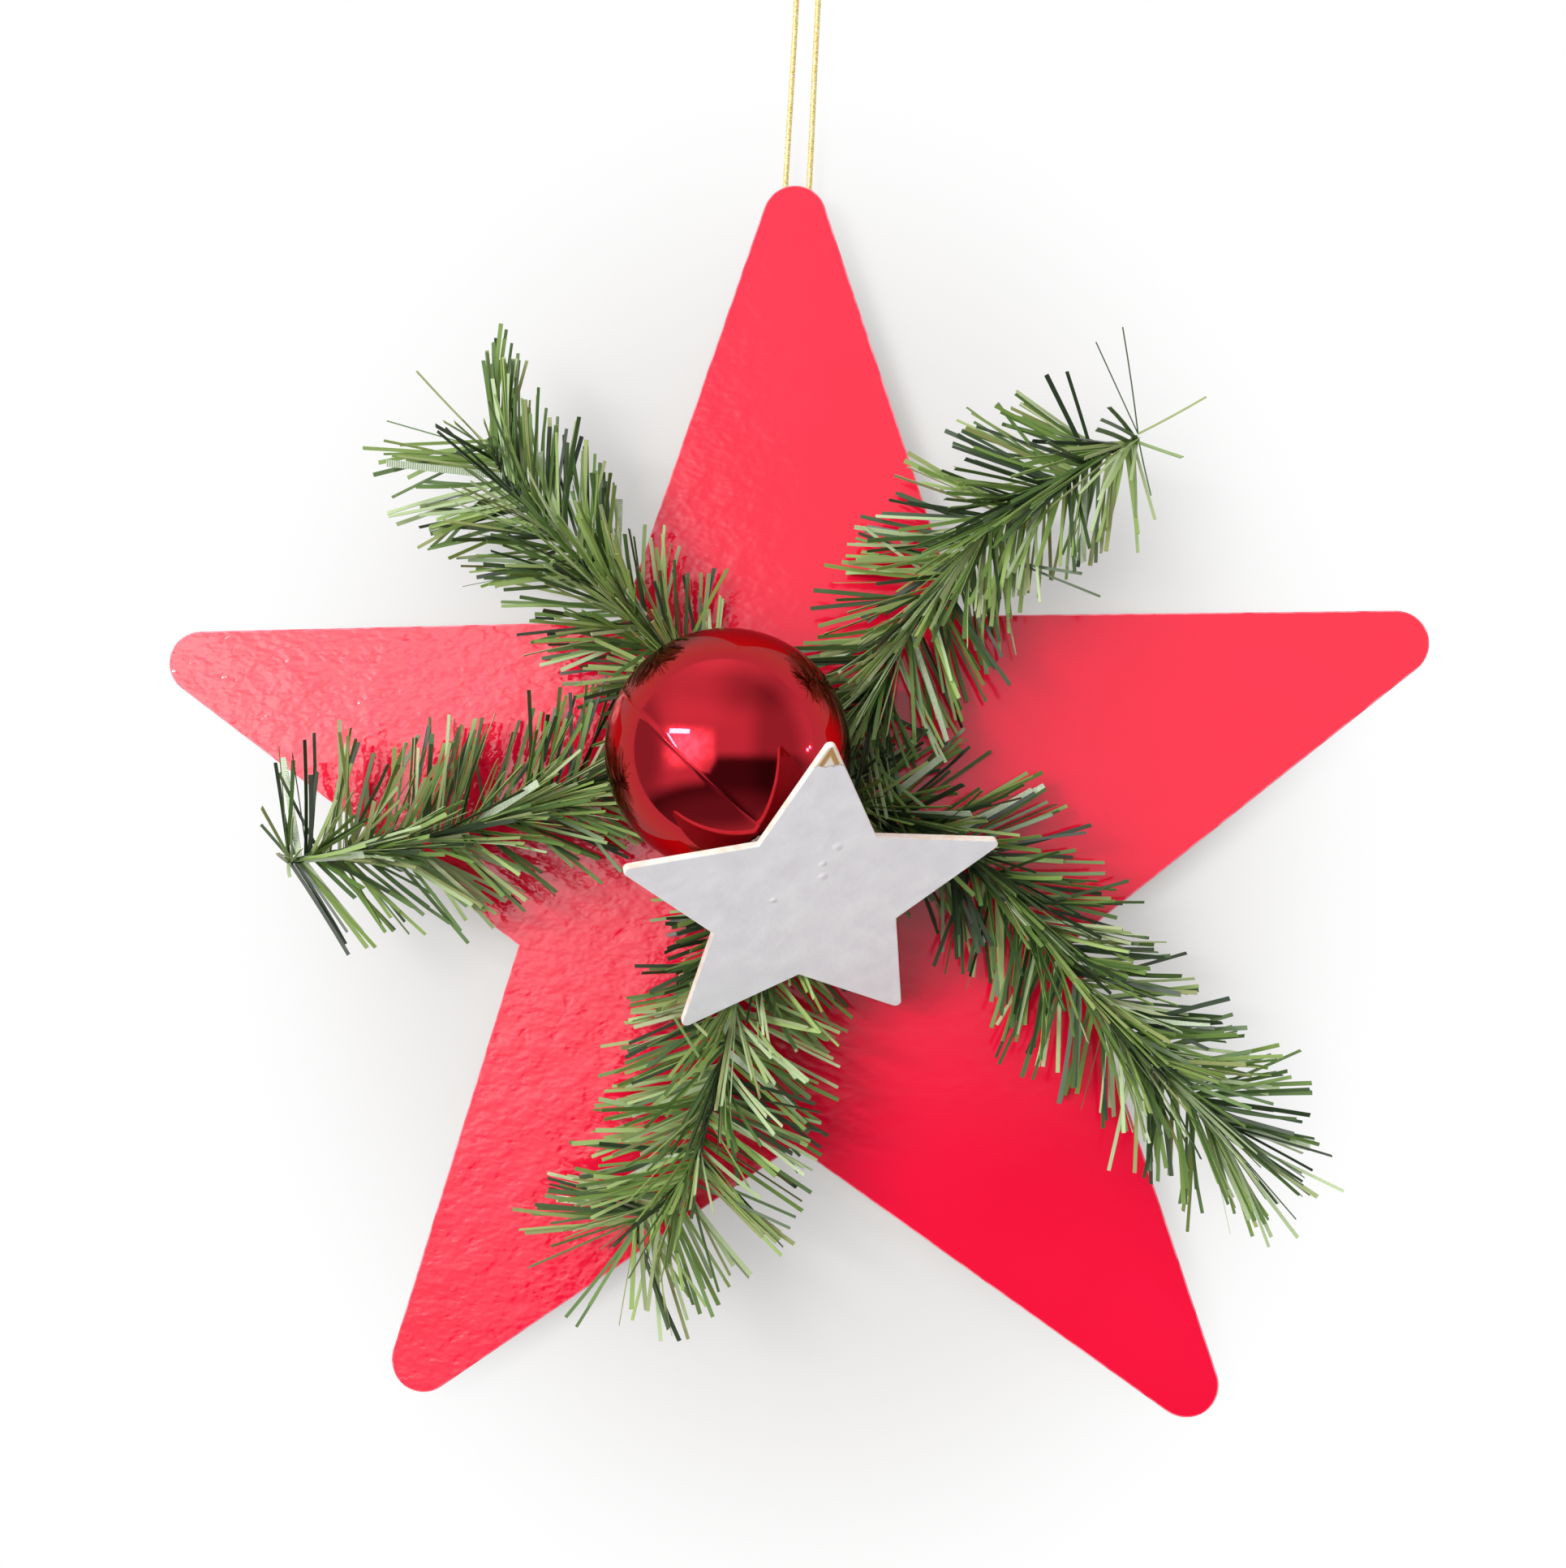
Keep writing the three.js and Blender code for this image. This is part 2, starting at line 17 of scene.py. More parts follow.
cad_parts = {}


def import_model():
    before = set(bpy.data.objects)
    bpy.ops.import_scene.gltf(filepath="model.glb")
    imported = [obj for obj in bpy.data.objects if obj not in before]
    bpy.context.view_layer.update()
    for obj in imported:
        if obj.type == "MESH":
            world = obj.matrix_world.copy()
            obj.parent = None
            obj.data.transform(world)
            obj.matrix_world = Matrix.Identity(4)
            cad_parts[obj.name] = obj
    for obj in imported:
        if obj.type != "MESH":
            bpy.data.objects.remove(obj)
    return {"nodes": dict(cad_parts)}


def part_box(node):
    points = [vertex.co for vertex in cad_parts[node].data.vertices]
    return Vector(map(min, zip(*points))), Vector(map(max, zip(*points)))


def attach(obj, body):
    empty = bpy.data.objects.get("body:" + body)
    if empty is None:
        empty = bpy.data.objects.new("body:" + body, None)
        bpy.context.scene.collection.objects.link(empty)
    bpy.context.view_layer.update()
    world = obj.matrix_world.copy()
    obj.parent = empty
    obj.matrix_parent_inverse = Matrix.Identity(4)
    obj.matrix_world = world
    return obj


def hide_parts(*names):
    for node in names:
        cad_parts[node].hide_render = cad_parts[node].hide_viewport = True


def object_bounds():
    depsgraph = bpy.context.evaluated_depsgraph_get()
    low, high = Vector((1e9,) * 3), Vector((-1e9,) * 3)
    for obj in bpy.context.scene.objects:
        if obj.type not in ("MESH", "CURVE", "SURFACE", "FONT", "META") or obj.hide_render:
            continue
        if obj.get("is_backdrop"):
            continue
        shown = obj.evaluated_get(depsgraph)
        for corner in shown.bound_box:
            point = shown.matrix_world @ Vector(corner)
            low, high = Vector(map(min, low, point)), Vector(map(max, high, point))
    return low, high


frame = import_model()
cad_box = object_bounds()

MM = 0.001
SHEET_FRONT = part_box("star_front_sheet")[0].y
STAR_CENTRE = Vector((-6.69 * MM, SHEET_FRONT, -242.23 * MM))
UPRIGHT = Matrix.Rotation(math.radians(90), 4, "X")
BENCH = Matrix.Translation(STAR_CENTRE) @ UPRIGHT @ Matrix.Scale(MM, 4)
OUT = Vector((0, 0, 1))

# Distances in mm within which points become one
MERGE_DISTANCE = 0.01
SPUN_MERGE_DISTANCE = 0.001

# Sheet, in mm. Its film is rippled and dented at the left. Both fade out between two places along
# the frame's X, and the ripples keep a share of their depth at the right. The creases' turn is in
# degrees, and their scale stretches them.
EDGE_ROUNDING = 0.4
RIPPLE_DEPTH = 0.42
RIPPLES_FADE = (-30, 20)
RIPPLES_KEPT = 0.14
DENT_DEPTH = 0.06
DENTS_FADE = (-45, -25)
CREASE_TURN = -25
CREASE_SCALE = (0.75, 1, 1.15)

# Garlands: wires and needles, in mm
WIRE_DIAMETER = 1.8
WIRE_TWIST = 9.0
WIRE_STEP = 1.0
WIRE_SIDES = 6
NEEDLE_LENGTH = 28.0
NEEDLE_WIDTH = 1.0
NEEDLE_THICKNESS = 0.16
NEEDLE_STATIONS = 5
NEEDLES_PER_MM = 4.1
ROOT_STEP = 2.0
ROOT_RADIUS = 0.6
ROOT_SPREAD = 0.3
END_GAP = 0.01

# How the needles are drawn at random. A tuft is so many needles over a spread in mm. Pairs are a
# mean and a spread, or in the names that end in RANGE the least and the most. Angles are in degrees:
# a lean is from the wire, a rise off the sheet, and a twist about the needle's own length. Lengths,
# widths and bows are shares of the usual ones. Gaps and the crown's end are in mm.
TUFT = 3
TUFT_SPREAD = 2.6
TUFT_LEAN_SPREAD = 7
SIDE_SHARE = 0.65
SIDE_RISE = (2, 17)
OTHER_RISE_RANGE = (10, 85)
CROWN_SHARE = 0.22
CROWN_RISE = (90, 22)
CROWN_LEAN = 0.55
CROWN_END = 14
LEAN_SPREAD = 5
RISE_SPREAD = 9
STRAY_SHARE = 0.06
STRAY_SPREAD = 24
STRAY_LEAN_RANGE = (8, 95)
FAN_RANGE = (0.05, 1.0)
LEVEL_SHARE = 0.7
TWIST_SPREAD = 60
LENGTH_RANGE = (0.82, 1.12)
WIDTH_RANGE = (0.72, 1.2)
BOW = (0.02, 0.045)
SIDE_BOW_SPREAD = 0.035
GAP_RANGE = (0.3, 3.0)

# The needles' shades go from 0 to 1. Ribbed ones are wider and have the last shade. Painted
# shade darkens the film at the shaded spots, (place, radius, how dark), and on the needles' upper
# side.
SHADE_SPREAD = 0.15
PALEST = 0.94
RIBBED_SHARE = 0.01
RIBBED_WIDTH = 1.8
RIBBED_SHADE = 0.99
RIBBED_FROM = 0.955
RIB_ANGLE = 330.0
UPPER_WING_SHADE = 0.12
SHADED_SPOTS = [((40, 17), 36, 0.35), ((-45, 20), 24, 0.25), ((-8, 0), 26, 0.3)]

# Each wire's route starts at the end that its needles lean away from. Its lay says how they lie:
# (share of the way along, lean from the wire at its left, lean at its right, turn about their own
# length at its left, turn at its right). Over the fanned end they close up to a brush. Loose needles
# and fibres are (root, tip, width, shade).
GARLANDS = {
    "lower_garland": {
        "nodes": ["lower_garland_left_needles", "lower_garland_right_needles"],
        "route": [
            (-131, -1, 15), (-118, 1.5, 14.5), (-104, 3, 14), (-78, 9.5, 12), (-62, 15.5, 10),
            (-48, 20, 8), (-31, 20.5, 6), (-15, 17, 4.5), (6.6, 13.5, 4.5), (26, 9.5, 6),
            (44, 1, 8), (57, -12, 10), (69, -28, 12), (84, -46, 13.5), (99, -60, 14.5),
            (109, -71.5, 15),
        ],
        "lay": [
            (0, 74, 64, 50, 14), (0.06, 62, 50, 50, 12), (0.3, 55, 44, 45, 14),
            (0.5, 56, 45, 30, 20), (0.7, 48, 50, 22, 22), (1, 46, 40, 25, 22),
        ],
        "fanned_end": 9,
        "loose": [
            ((-130, 0, 15), (-137, 9, 17), 0.8, 0.1),
            ((-129, 1, 15), (-131.5, 13, 18), 0.7, 0.15),
            ((-122, 1, 15), (-132, 22, 19), 0.8, 0.05),
            ((110, -72, 15), (127, -84.5, 17), 0.6, 0.6),
        ],
        "seed": 13,
    },
    "upper_right_garland": {
        "nodes": ["upper_right_garland_needles"],
        "route": [
            (90, 105, 15), (70, 95, 14), (56, 86, 13), (47, 78, 12), (31, 56, 10.5), (13, 28, 9.5),
            (6.6, 13.5, 9.1), (0, -2, 9.2), (-7.5, -20.5, 9.5), (-14.5, -39, 10.5),
            (-18.5, -57, 12), (-23.5, -73.5, 14), (-30, -86.5, 15), (-41, -94.5, 15),
        ],
        "lay": [
            (0, 56, 58, 30, 15), (0.2, 50, 50, 30, 14), (0.5, 52, 52, 25, 25),
            (0.7, 64, 56, 25, 25), (0.85, 72, 62, 25, 25), (0.93, 74, 52, 25, 25),
            (1, 70, 34, 25, 25),
        ],
        "fanned_end": 0,
        "loose": [
            ((90, 106, 15), (86.6, 133, 19), 0.35, 0.1),
            ((90, 106, 15), (79.4, 128.8, 18), 0.3, 0.1),
            ((90, 106, 15), (107, 114, 16), 0.55, 0.8),
            ((58, 74, 16), (79, 64, 22), 0.6, 0.1),
            ((57, 74, 16), (74.6, 69.3, 22), 0.8, 0.15),
            ((90, 105, 15), (92.5, 90, 16), 0.35, 0.3),
            ((-39, -94, 15), (-57, -118, 16), 0.9, 0.35),
            ((-40, -94, 15), (-54, -121, 16), 0.8, 0.3),
            ((-38, -93, 15), (-52, -114, 17), 0.9, 0.45),
        ],
        "seed": 5,
    },
    "upper_left_garland": {
        "nodes": ["upper_left_garland_needles"],
        "route": [
            (-17, 36.5, 5), (-23.5, 44, 6), (-30, 50.5, 7.5), (-40, 60.5, 9.5), (-54, 77, 12.5),
            (-64, 88, 14), (-73, 99, 14.8), (-77, 109, 15),
        ],
        "lay": [
            (0, 52, 52, 25, 25), (0.4, 50, 46, 25, 25), (0.75, 60, 40, 25, 25),
            (1, 78, 25, 22, 25),
        ],
        "fanned_end": 0,
        "loose": [
            ((-77.3, 107, 15), (-95.4, 125, 18), 0.55, 0.85),
            ((-78, 106, 15), (-103.4, 113.5, 17), 0.35, 0.3),
        ],
        "seed": 8,
    },
}

# How far the needles keep off the other pieces, in mm
SHEET_CLEARANCE = 0.25
BAUBLE_CLEARANCE = 0.4
SMALL_STAR_CLEARANCE = 0.5
SMALL_STAR_MARGIN = 1.5
WALL_CLEARANCE = 1.0

# Bauble, its seam, its neck and its cap, in mm. The margin, in radians, keeps the even rings off
# the seam.
BAUBLE_CENTRE = Vector((-13.2, 25.85, 37.3))
BAUBLE_RADIUS = 30.0
BAUBLE_RINGS = 72
BAUBLE_STEPS = 128
SEAM_NORMAL = Vector((0.689, 0.723, 0.053)).normalized()
SEAM_OFFSET = -5.5
SEAM_WIDTH = 0.5
SEAM_HEIGHT = 0.12
SEAM_MARGIN = 0.03
NECK_AXIS = Vector((0.66, -0.62, -0.42)).normalized()
NECK_RADIUS = 5.0
NECK_HEIGHT = 5.0
CAP_RADIUS = 7.0
CAP_WALL = 0.6
CAP_GAP = 0.3
CAP_STEPS = 96
CAP_FLUTES = 24
FLUTE_DEPTH = 0.02
NECK_RIM = math.sqrt(BAUBLE_RADIUS ** 2 - NECK_RADIUS ** 2) + NECK_HEIGHT
CAP_TOP = NECK_RIM + CAP_GAP + CAP_WALL
CAP_SKIRT = math.sqrt(BAUBLE_RADIUS ** 2 - CAP_RADIUS ** 2) + CAP_GAP

# Small star, in mm: the reach of its tips and valleys, its turn on the bench in degrees, and the
# height of its lowest tip. Lumps in its paint are (x, y, radius) from its own middle.
SMALL_TIP = 49.6
SMALL_VALLEY = 24.2
SMALL_TIP_ROUNDING = 1.4
SMALL_TIP_STEPS = 3
SMALL_THICKNESS = 2.0
SMALL_EDGE_ROUNDING = 0.35
SMALL_TURN = (42, 15, -8.7)
SMALL_SIDEWAYS = 15.1
SMALL_FOOT_HEIGHT = 9.1
GLUE_FILM = 1.2
PAINT_LUMPS = [(5, 17.5, 1.6), (2, 12.5, 1.3), (2.5, 8.5, 1.5), (-9, 2, 1.2)]
CHIP_LENGTH = 6.0
CHIP_RIM = 0.8
CHIP_BAND = 2.2
CHIP_WAVE = 2.2
# The painted shadow line along the chip's lower edge is this wide
CHIP_SHADOW_LINE = 0.35
CHIP_BLEND = 0.15

# Glue: the size of its voxels in mm, and how often and how much it is smoothed
GLUE_VOXEL = 0.5
GLUE_SMOOTHING = 6
GLUE_SOFTNESS = 0.5

# Cord: its route from the hook, as [x, z] in mm
CORD_DIAMETER = 1.5
CORD_SIDES = 10
CORD_STEP = 0.35
THREAD_PITCH = 0.45
CORD_ROUTE = [
    (-8.45, -86), (-8.1, -80), (-7.55, -72), (-6.95, -63), (-6.25, -53), (-5.55, -43),
    (-4.85, -33), (-4.15, -23), (-3.55, -13), (-3.15, -6), (-3, -3), (-2.6, -1.5), (-1.5, -0.4),
    (0, 0), (1.5, -0.4), (2.6, -1.5), (3, -3), (2.85, -6), (2.35, -13), (1.75, -23), (1.15, -33),
    (0.6, -43), (0.05, -53), (-0.55, -63), (-1.05, -72), (-1.5, -80), (-1.85, -86),
]

# Camera: where it stands, in mm on the bench, its turn in degrees, and its lens in pixels of the
# photograph
CAMERA_PLACE = (28.28, 7.83, 471.26)
CAMERA_TURN = (-1.249, -3.711, 0.540)
FOCAL_PIXELS = 2200
PHOTO_HEIGHT = 1932
SENSOR = 36.0

# Lamps: where each stands, what it is turned to and its size, in mm on the bench, and its watts
LAMPS = {
    "window": ((-976, 430, 1187), (-13, 26, 37), (540, 105), 8.0),
    "side_lamp_low": ((1250, 20, 190), (0, 20, 20), (40, 40), 0.25),
    "side_lamp_high": ((1250, 60, 130), (0, 20, 20), (40, 40), 0.25),
}
BACK_LAMP = ((0, 0, -1200), (0, 0, 0), (900, 900), 9.0)

# Wall, in mm: it turns white between two distances from the star's centre, which count less up and
# down. Near the star it is partly white: painted light that lightens the star's shadow on the wall.
# The room's radius is in metres.
WALL_BEHIND_FRONT = 8.0
WALL_REACH = 4000
WHITE_FROM = 85
WHITE_TO = 162
WHITE_NEAR = 0.35
WHITE_STRETCH = (1, 0, 0.75)
ROOM_RADIUS = 6.0


# Shapes

def smooth_route(points, step):
    """Points about a step apart on a smooth curve through the given ones (centripetal)."""
    points = [Vector(p) for p in points]
    ends = [2 * points[0] - points[1], *points, 2 * points[-1] - points[-2]]
    made = [points[0]]
    for a, b, c, d in zip(ends, ends[1:], ends[2:], ends[3:]):
        ta = 0.0
        tb = ta + (b - a).length ** 0.5
        tc = tb + (c - b).length ** 0.5
        td = tc + (d - c).length ** 0.5
        count = max(1, round((c - b).length / step))
        for i in range(1, count + 1):
            t = tb + (tc - tb) * i / count
            ab = a.lerp(b, (t - ta) / (tb - ta))
            bc = b.lerp(c, (t - tb) / (tc - tb))
            cd = c.lerp(d, (t - tc) / (td - tc))
            before = ab.lerp(bc, (t - ta) / (tc - ta))
            after = bc.lerp(cd, (t - tb) / (td - tb))
            made.append(before.lerp(after, (t - tb) / (tc - tb)))
    return made


def lengths_along(route):
    """How far along a route each of its points is."""
    made = [0.0]
    for a, b in zip(route, route[1:]):
        made.append(made[-1] + (b - a).length)
    return made


def frames_along(route):
    """For each point of a route: the point, the direction, and two directions across, untwisted."""
    along = [(b - a).normalized() for a, b in zip([route[0], *route], [*route[1:], route[-1]])]
    along[0] = (route[1] - route[0]).normalized()
    side = along[0].orthogonal().normalized()
    made = []
    for place, forward in zip(route, along):
        side = (side - side.dot(forward) * forward).normalized()
        made.append((place, forward, side, forward.cross(side)))
    return made


def strand_mesh(bm, route, radius, sides):
    """Adds a closed round strand along a route to bm."""
    loops = []
    for place, forward, side, over in frames_along(route):
        turn = Matrix((side, over, forward)).transposed().to_4x4()
        ring = bmesh.ops.create_circle(
            bm, segments=sides, radius=radius, matrix=Matrix.Translation(place) @ turn)["verts"]
        loops.append(ring)
    for near, far in zip(loops, loops[1:]):
        for i in range(sides):
            j = (i + 1) % sides
            bm.faces.new((near[i], near[j], far[j], far[i]))
    bm.faces.new(list(reversed(loops[0])))
    bm.faces.new(loops[-1])


def spun(profile, steps):
    """A bmesh of a profile, (distance from the axis, height), spun about the z axis."""
    bm = bmesh.new()
    verts = [bm.verts.new((x, 0, z)) for x, z in profile]
    edges = [bm.edges.new(pair) for pair in zip(verts, verts[1:])]
    bmesh.ops.spin(bm, geom=verts + edges, cent=(0, 0, 0), axis=(0, 0, 1), angle=2 * math.pi,
                   steps=steps, use_merge=True)
    bmesh.ops.remove_doubles(bm, verts=bm.verts, dist=SPUN_MERGE_DISTANCE)
    return bm


def merged_copy(node):
    """A bmesh of a CAD node with its loose triangles merged and its flat faces whole."""
    bm = bmesh.new()
    bm.from_mesh(frame["nodes"][node].data)
    bmesh.ops.remove_doubles(bm, verts=bm.verts, dist=MERGE_DISTANCE * MM)
    bmesh.ops.dissolve_limit(bm, angle_limit=math.radians(1), verts=bm.verts, edges=bm.edges)
    return bm


def mesh_of(name, bm):
    """Turns bm into a mesh and frees it."""
    mesh = bpy.data.meshes.new(name)
    bm.to_mesh(mesh)
    bm.free()
    return mesh


def piece(name, bm, materials, nodes, place=BENCH):
    """Makes a smooth piece of bm, stood up in the frame from the bench or from another place."""
    bmesh.ops.transform(bm, matrix=place, verts=bm.verts)
    return piece_of_mesh(name, mesh_of(name, bm), materials, nodes)


def piece_of_mesh(name, mesh, materials, nodes, smooth=True):
    """Makes a piece of a mesh: it rides on the body and stands for its CAD nodes."""
    made = bpy.data.objects.new(name, mesh)
    bpy.context.scene.collection.objects.link(made)
    for material in materials:
        mesh.materials.append(material)
    mesh.polygons.foreach_set("use_smooth", [smooth] * len(mesh.polygons))
    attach(made, "root")
    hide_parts(*nodes)
    return made


def stage_piece(name, bm, material, location=(0, 0, 0)):
    """Makes a stage piece of bm, which isn't part of the object."""
    mesh = mesh_of(name, bm)
    mesh.materials.append(material)
    stage = bpy.data.objects.new(name, mesh)
    stage.location = location
    bpy.context.scene.collection.objects.link(stage)
    stage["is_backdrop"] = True
    return stage


# Material nodes

def colour(hex_code):
    """An sRGB hex colour as linear RGBA."""
    values = [int(hex_code[i:i + 2], 16) / 255 for i in (1, 3, 5)]
    return (*[v / 12.92 if v <= 0.04045 else ((v + 0.055) / 1.055) ** 2.4 for v in values], 1.0)


def per(size_mm):
    """The scale of a texture whose pattern repeats over a size in mm, on Object coordinates."""
    return 1 / (size_mm * MM)


def connect(tree, node, inputs):
    """Links a node's inputs to sockets or gives them values, by the inputs' names or numbers."""
    for key, value in inputs.items():
        if isinstance(value, bpy.types.NodeSocket):
            tree.links.new(value, node.inputs[key])
        else:
            node.inputs[key].default_value = value


def add(tree, kind, inputs=(), **settings):
    """Adds a node with its settings and inputs."""
    made = tree.nodes.new(kind)
    for name, value in settings.items():
        setattr(made, name, value)
    connect(tree, made, dict(inputs))
    return made


def maths(tree, operation, *values):
    """The result of a Math node."""
    return add(tree, "ShaderNodeMath", enumerate(values), operation=operation).outputs[0]


def vector_maths(tree, operation, *values):
    """A Vector Math node's outputs."""
    return add(tree, "ShaderNodeVectorMath", enumerate(values), operation=operation).outputs


def times(tree, first, *others):
    """The product of some values."""
    for other in others:
        first = maths(tree, "MULTIPLY", first, other)
    return first


def fade(tree, value, start, end, low=0.0, high=1.0, kind="SMOOTHSTEP"):
    """Goes from low to high as a value goes from start to end."""
    return add(tree, "ShaderNodeMapRange", {
        "Value": value, "From Min": start, "From Max": end, "To Min": low, "To Max": high},
        interpolation_type=kind).outputs[0]


def noise(tree, place, scale, detail, roughness=0.5):
    """Noise over a place."""
    return add(tree, "ShaderNodeTexNoise", {
        "Vector": place, "Scale": scale, "Detail": detail, "Roughness": roughness}).outputs[0]


def tinted(tree, value, *stops):
    """A colour between the nearest stops, (value, hex colour)."""
    made = add(tree, "ShaderNodeValToRGB", {"Fac": value})
    elements = made.color_ramp.elements
    while len(elements) < len(stops):
        elements.new(0.5)
    for element, (position, code) in zip(elements, stops):
        element.position = position
        element.color = colour(code)
    return made.outputs[0]


def mixed(tree, share, first, second):
    """Two colours mixed, with a share of the second."""
    return add(tree, "ShaderNodeMix", {0: share, 6: first, 7: second}, data_type="RGBA").outputs[2]


def bumped(tree, height, depth, strength=1.0):
    """The normal of a height that goes up by a depth in mm from 0 to 1."""
    return add(tree, "ShaderNodeBump", {
        "Strength": strength, "Distance": depth * MM, "Height": height}).outputs[0]


def surface(name):
    """A new material: itself, its node tree, its shader, and its Object coordinates."""
    made = bpy.data.materials.new(name)
    made.use_nodes = True
    tree = made.node_tree
    tree.nodes.clear()
    shader = add(tree, "ShaderNodeBsdfPrincipled")
    add(tree, "ShaderNodeOutputMaterial", {"Surface": shader.outputs[0]})
    place = add(tree, "ShaderNodeTexCoord").outputs["Object"]
    return made, tree, shader, place


def shown_as(tree, result):
    """Shows another shader in place of the material's own."""
    output = next(n for n in tree.nodes if n.type == "OUTPUT_MATERIAL")
    connect(tree, output, {"Surface": result})


# Materials

def gloss_film():
    """Red gloss film, laminated by hand: rippled and dented at its left, mirror smooth elsewhere."""
    made, tree, shader, place = surface("gloss_film_laminated")
    creased = add(tree, "ShaderNodeMapping", {
        "Vector": place, "Rotation": (0, math.radians(CREASE_TURN), 0),
        "Scale": CREASE_SCALE}).outputs[0]
    sideways = add(tree, "ShaderNodeSeparateXYZ", {0: place}).outputs["X"]
    rippled = fade(tree, sideways, *[x * MM for x in RIPPLES_FADE], 1.0, RIPPLES_KEPT)
    dented = fade(tree, sideways, *[x * MM for x in DENTS_FADE], 1.0, 0.0)
    ripples = times(tree, noise(tree, creased, per(10), 3.0, 0.68), rippled)
    dents = times(tree, fade(tree, noise(tree, creased, per(3.5), 2.0), 0.52, 0.78), dented,
                  DENT_DEPTH / RIPPLE_DEPTH)
    clouds = noise(tree, place, per(60), 2.0)
    connect(tree, shader, {
        "Base Color": tinted(tree, clouds, (0.35, "#EA0A35"), (0.65, "#EE0E39")),
        "Normal": bumped(tree, maths(tree, "SUBTRACT", ripples, dents), RIPPLE_DEPTH),
        "Roughness": 0.09,
        "IOR": 1.53,
    })
    return made


def film_edge():
    """The film's cut edge, rounded by the knife, pale pink: a painted highlight along the edge."""
    made, tree, shader, place = surface("gloss_film_cut_edge_painted_highlight")
    nicks = noise(tree, place, per(5), 4.0)
    connect(tree, shader, {
        "Base Color": tinted(tree, nicks, (0.35, "#F62A4C"), (0.6, "#FA8C9C")),
        "Roughness": 0.4,
    })
    return made


def fibreboard():
    """Bare thin fibreboard: matt, brown, with pressed fibres."""
    made, tree, shader, place = surface("fibreboard_bare")
    fibres = noise(tree, place, per(1.2), 5.0, 0.7)
    clouds = noise(tree, place, per(25), 3.0)
    mean = times(tree, maths(tree, "ADD", fibres, clouds), 0.5)
    connect(tree, shader, {
        "Base Color": tinted(tree, mean, (0.32, "#6E4C2E"), (0.5, "#8E6A44"), (0.66, "#A5825A")),
        "Normal": bumped(tree, fibres, 0.1, 0.5),
        "Roughness": 0.85,
    })
    return made


def pvc_film():
    """Cut PVC film: half gloss strips in several greens, the palest of them ribbed."""
    made, tree, shader, _ = surface("pvc_film_cut")
    shade = add(tree, "ShaderNodeAttribute", attribute_name="shade").outputs["Fac"]
    strip = add(tree, "ShaderNodeUVMap", uv_map="strip").outputs[0]
    along = add(tree, "ShaderNodeSeparateXYZ", {0: strip}).outputs["Y"]
    wave = maths(tree, "SINE", times(tree, along, RIB_ANGLE))
    ribs = times(tree, wave, maths(tree, "GREATER_THAN", shade, RIBBED_FROM))
    connect(tree, shader, {
        "Base Color": tinted(
            tree, shade, (0.0, "#26381F"), (0.2, "#456030"), (0.4, "#63833E"), (0.58, "#83A04E"),
            (0.74, "#A3BC72"), (0.84, "#8F9458"), (0.94, "#B4C896"), (1.0, "#CAD8BE")),
        "Normal": bumped(tree, ribs, 0.08, 0.6),
        "Roughness": 0.42,
        "IOR": 1.54,
    })
    return made


def twisted_wire():
    """Soft iron wire, lacquered green: dull metal that is hidden under the needles."""
    made, tree, shader, place = surface("iron_wire_lacquered")
    grime = noise(tree, place, per(2), 3.0)
    connect(tree, shader, {
        "Base Color": tinted(tree, grime, (0.35, "#26331F"), (0.65, "#4A5642")),
        "Metallic": 0.6,
        "Roughness": 0.45,
    })
    return made


def red_lacquer():
    """Metallised polystyrene under clear red lacquer: a tinted mirror with a clear top coat."""
    made, tree, shader, place = surface("metallised_red_lacquer")
    dust = noise(tree, place, per(0.8), 3.0)
    wobble = noise(tree, place, per(14), 1.0)
    connect(tree, shader, {
        "Base Color": colour("#B4071F"),
        "Specular Tint": colour("#9C3440"),
        "Metallic": 1.0,
        "Roughness": fade(tree, dust, 0.4, 0.8, 0.05, 0.12, "LINEAR"),
        "Normal": bumped(tree, wobble, 0.1, 0.6),
        "Coat Weight": 0.4,
        "Coat Roughness": 0.03,
    })
    return made


def pressed_metal():
    """Bright pressed aluminium: mirror like with fine drawing marks."""
    made, tree, shader, place = surface("aluminium_pressed")
    marks = noise(tree, place, per(0.5), 3.0)
    connect(tree, shader, {
        "Base Color": colour("#D9D7D2"),
        "Metallic": 1.0,
        "Roughness": fade(tree, marks, 0.3, 0.7, 0.18, 0.34, "LINEAR"),
    })
    return made


def at_chip(tree, own):
    """Of a point of the small star, in its own mm: how far it is inside its upper tip's two edges,
    and whether it is in the chip there, and in that or the painted shadow line along its lower edge,
    both from 0 to 1."""
    half = small_tip_half_angle()
    axes = add(tree, "ShaderNodeSeparateXYZ", {0: own}).outputs
    sideways = maths(tree, "ABSOLUTE", axes["X"])
    below = maths(tree, "SUBTRACT", SMALL_TIP, axes["Y"])
    inside = maths(tree, "SUBTRACT", times(tree, below, math.sin(half)),
                   times(tree, sideways, math.cos(half)))
    height = maths(tree, "MULTIPLY_ADD", noise(tree, own, 0.7, 2.0), CHIP_WAVE, axes["Y"])
    start = SMALL_TIP - SMALL_TIP_ROUNDING - CHIP_LENGTH + CHIP_WAVE / 2
    chip, in_chip_or_shadow_line = [fade(tree, height, low, low + CHIP_BLEND)
                      for low in (start, start - CHIP_SHADOW_LINE)]
    return inside, chip, in_chip_or_shadow_line


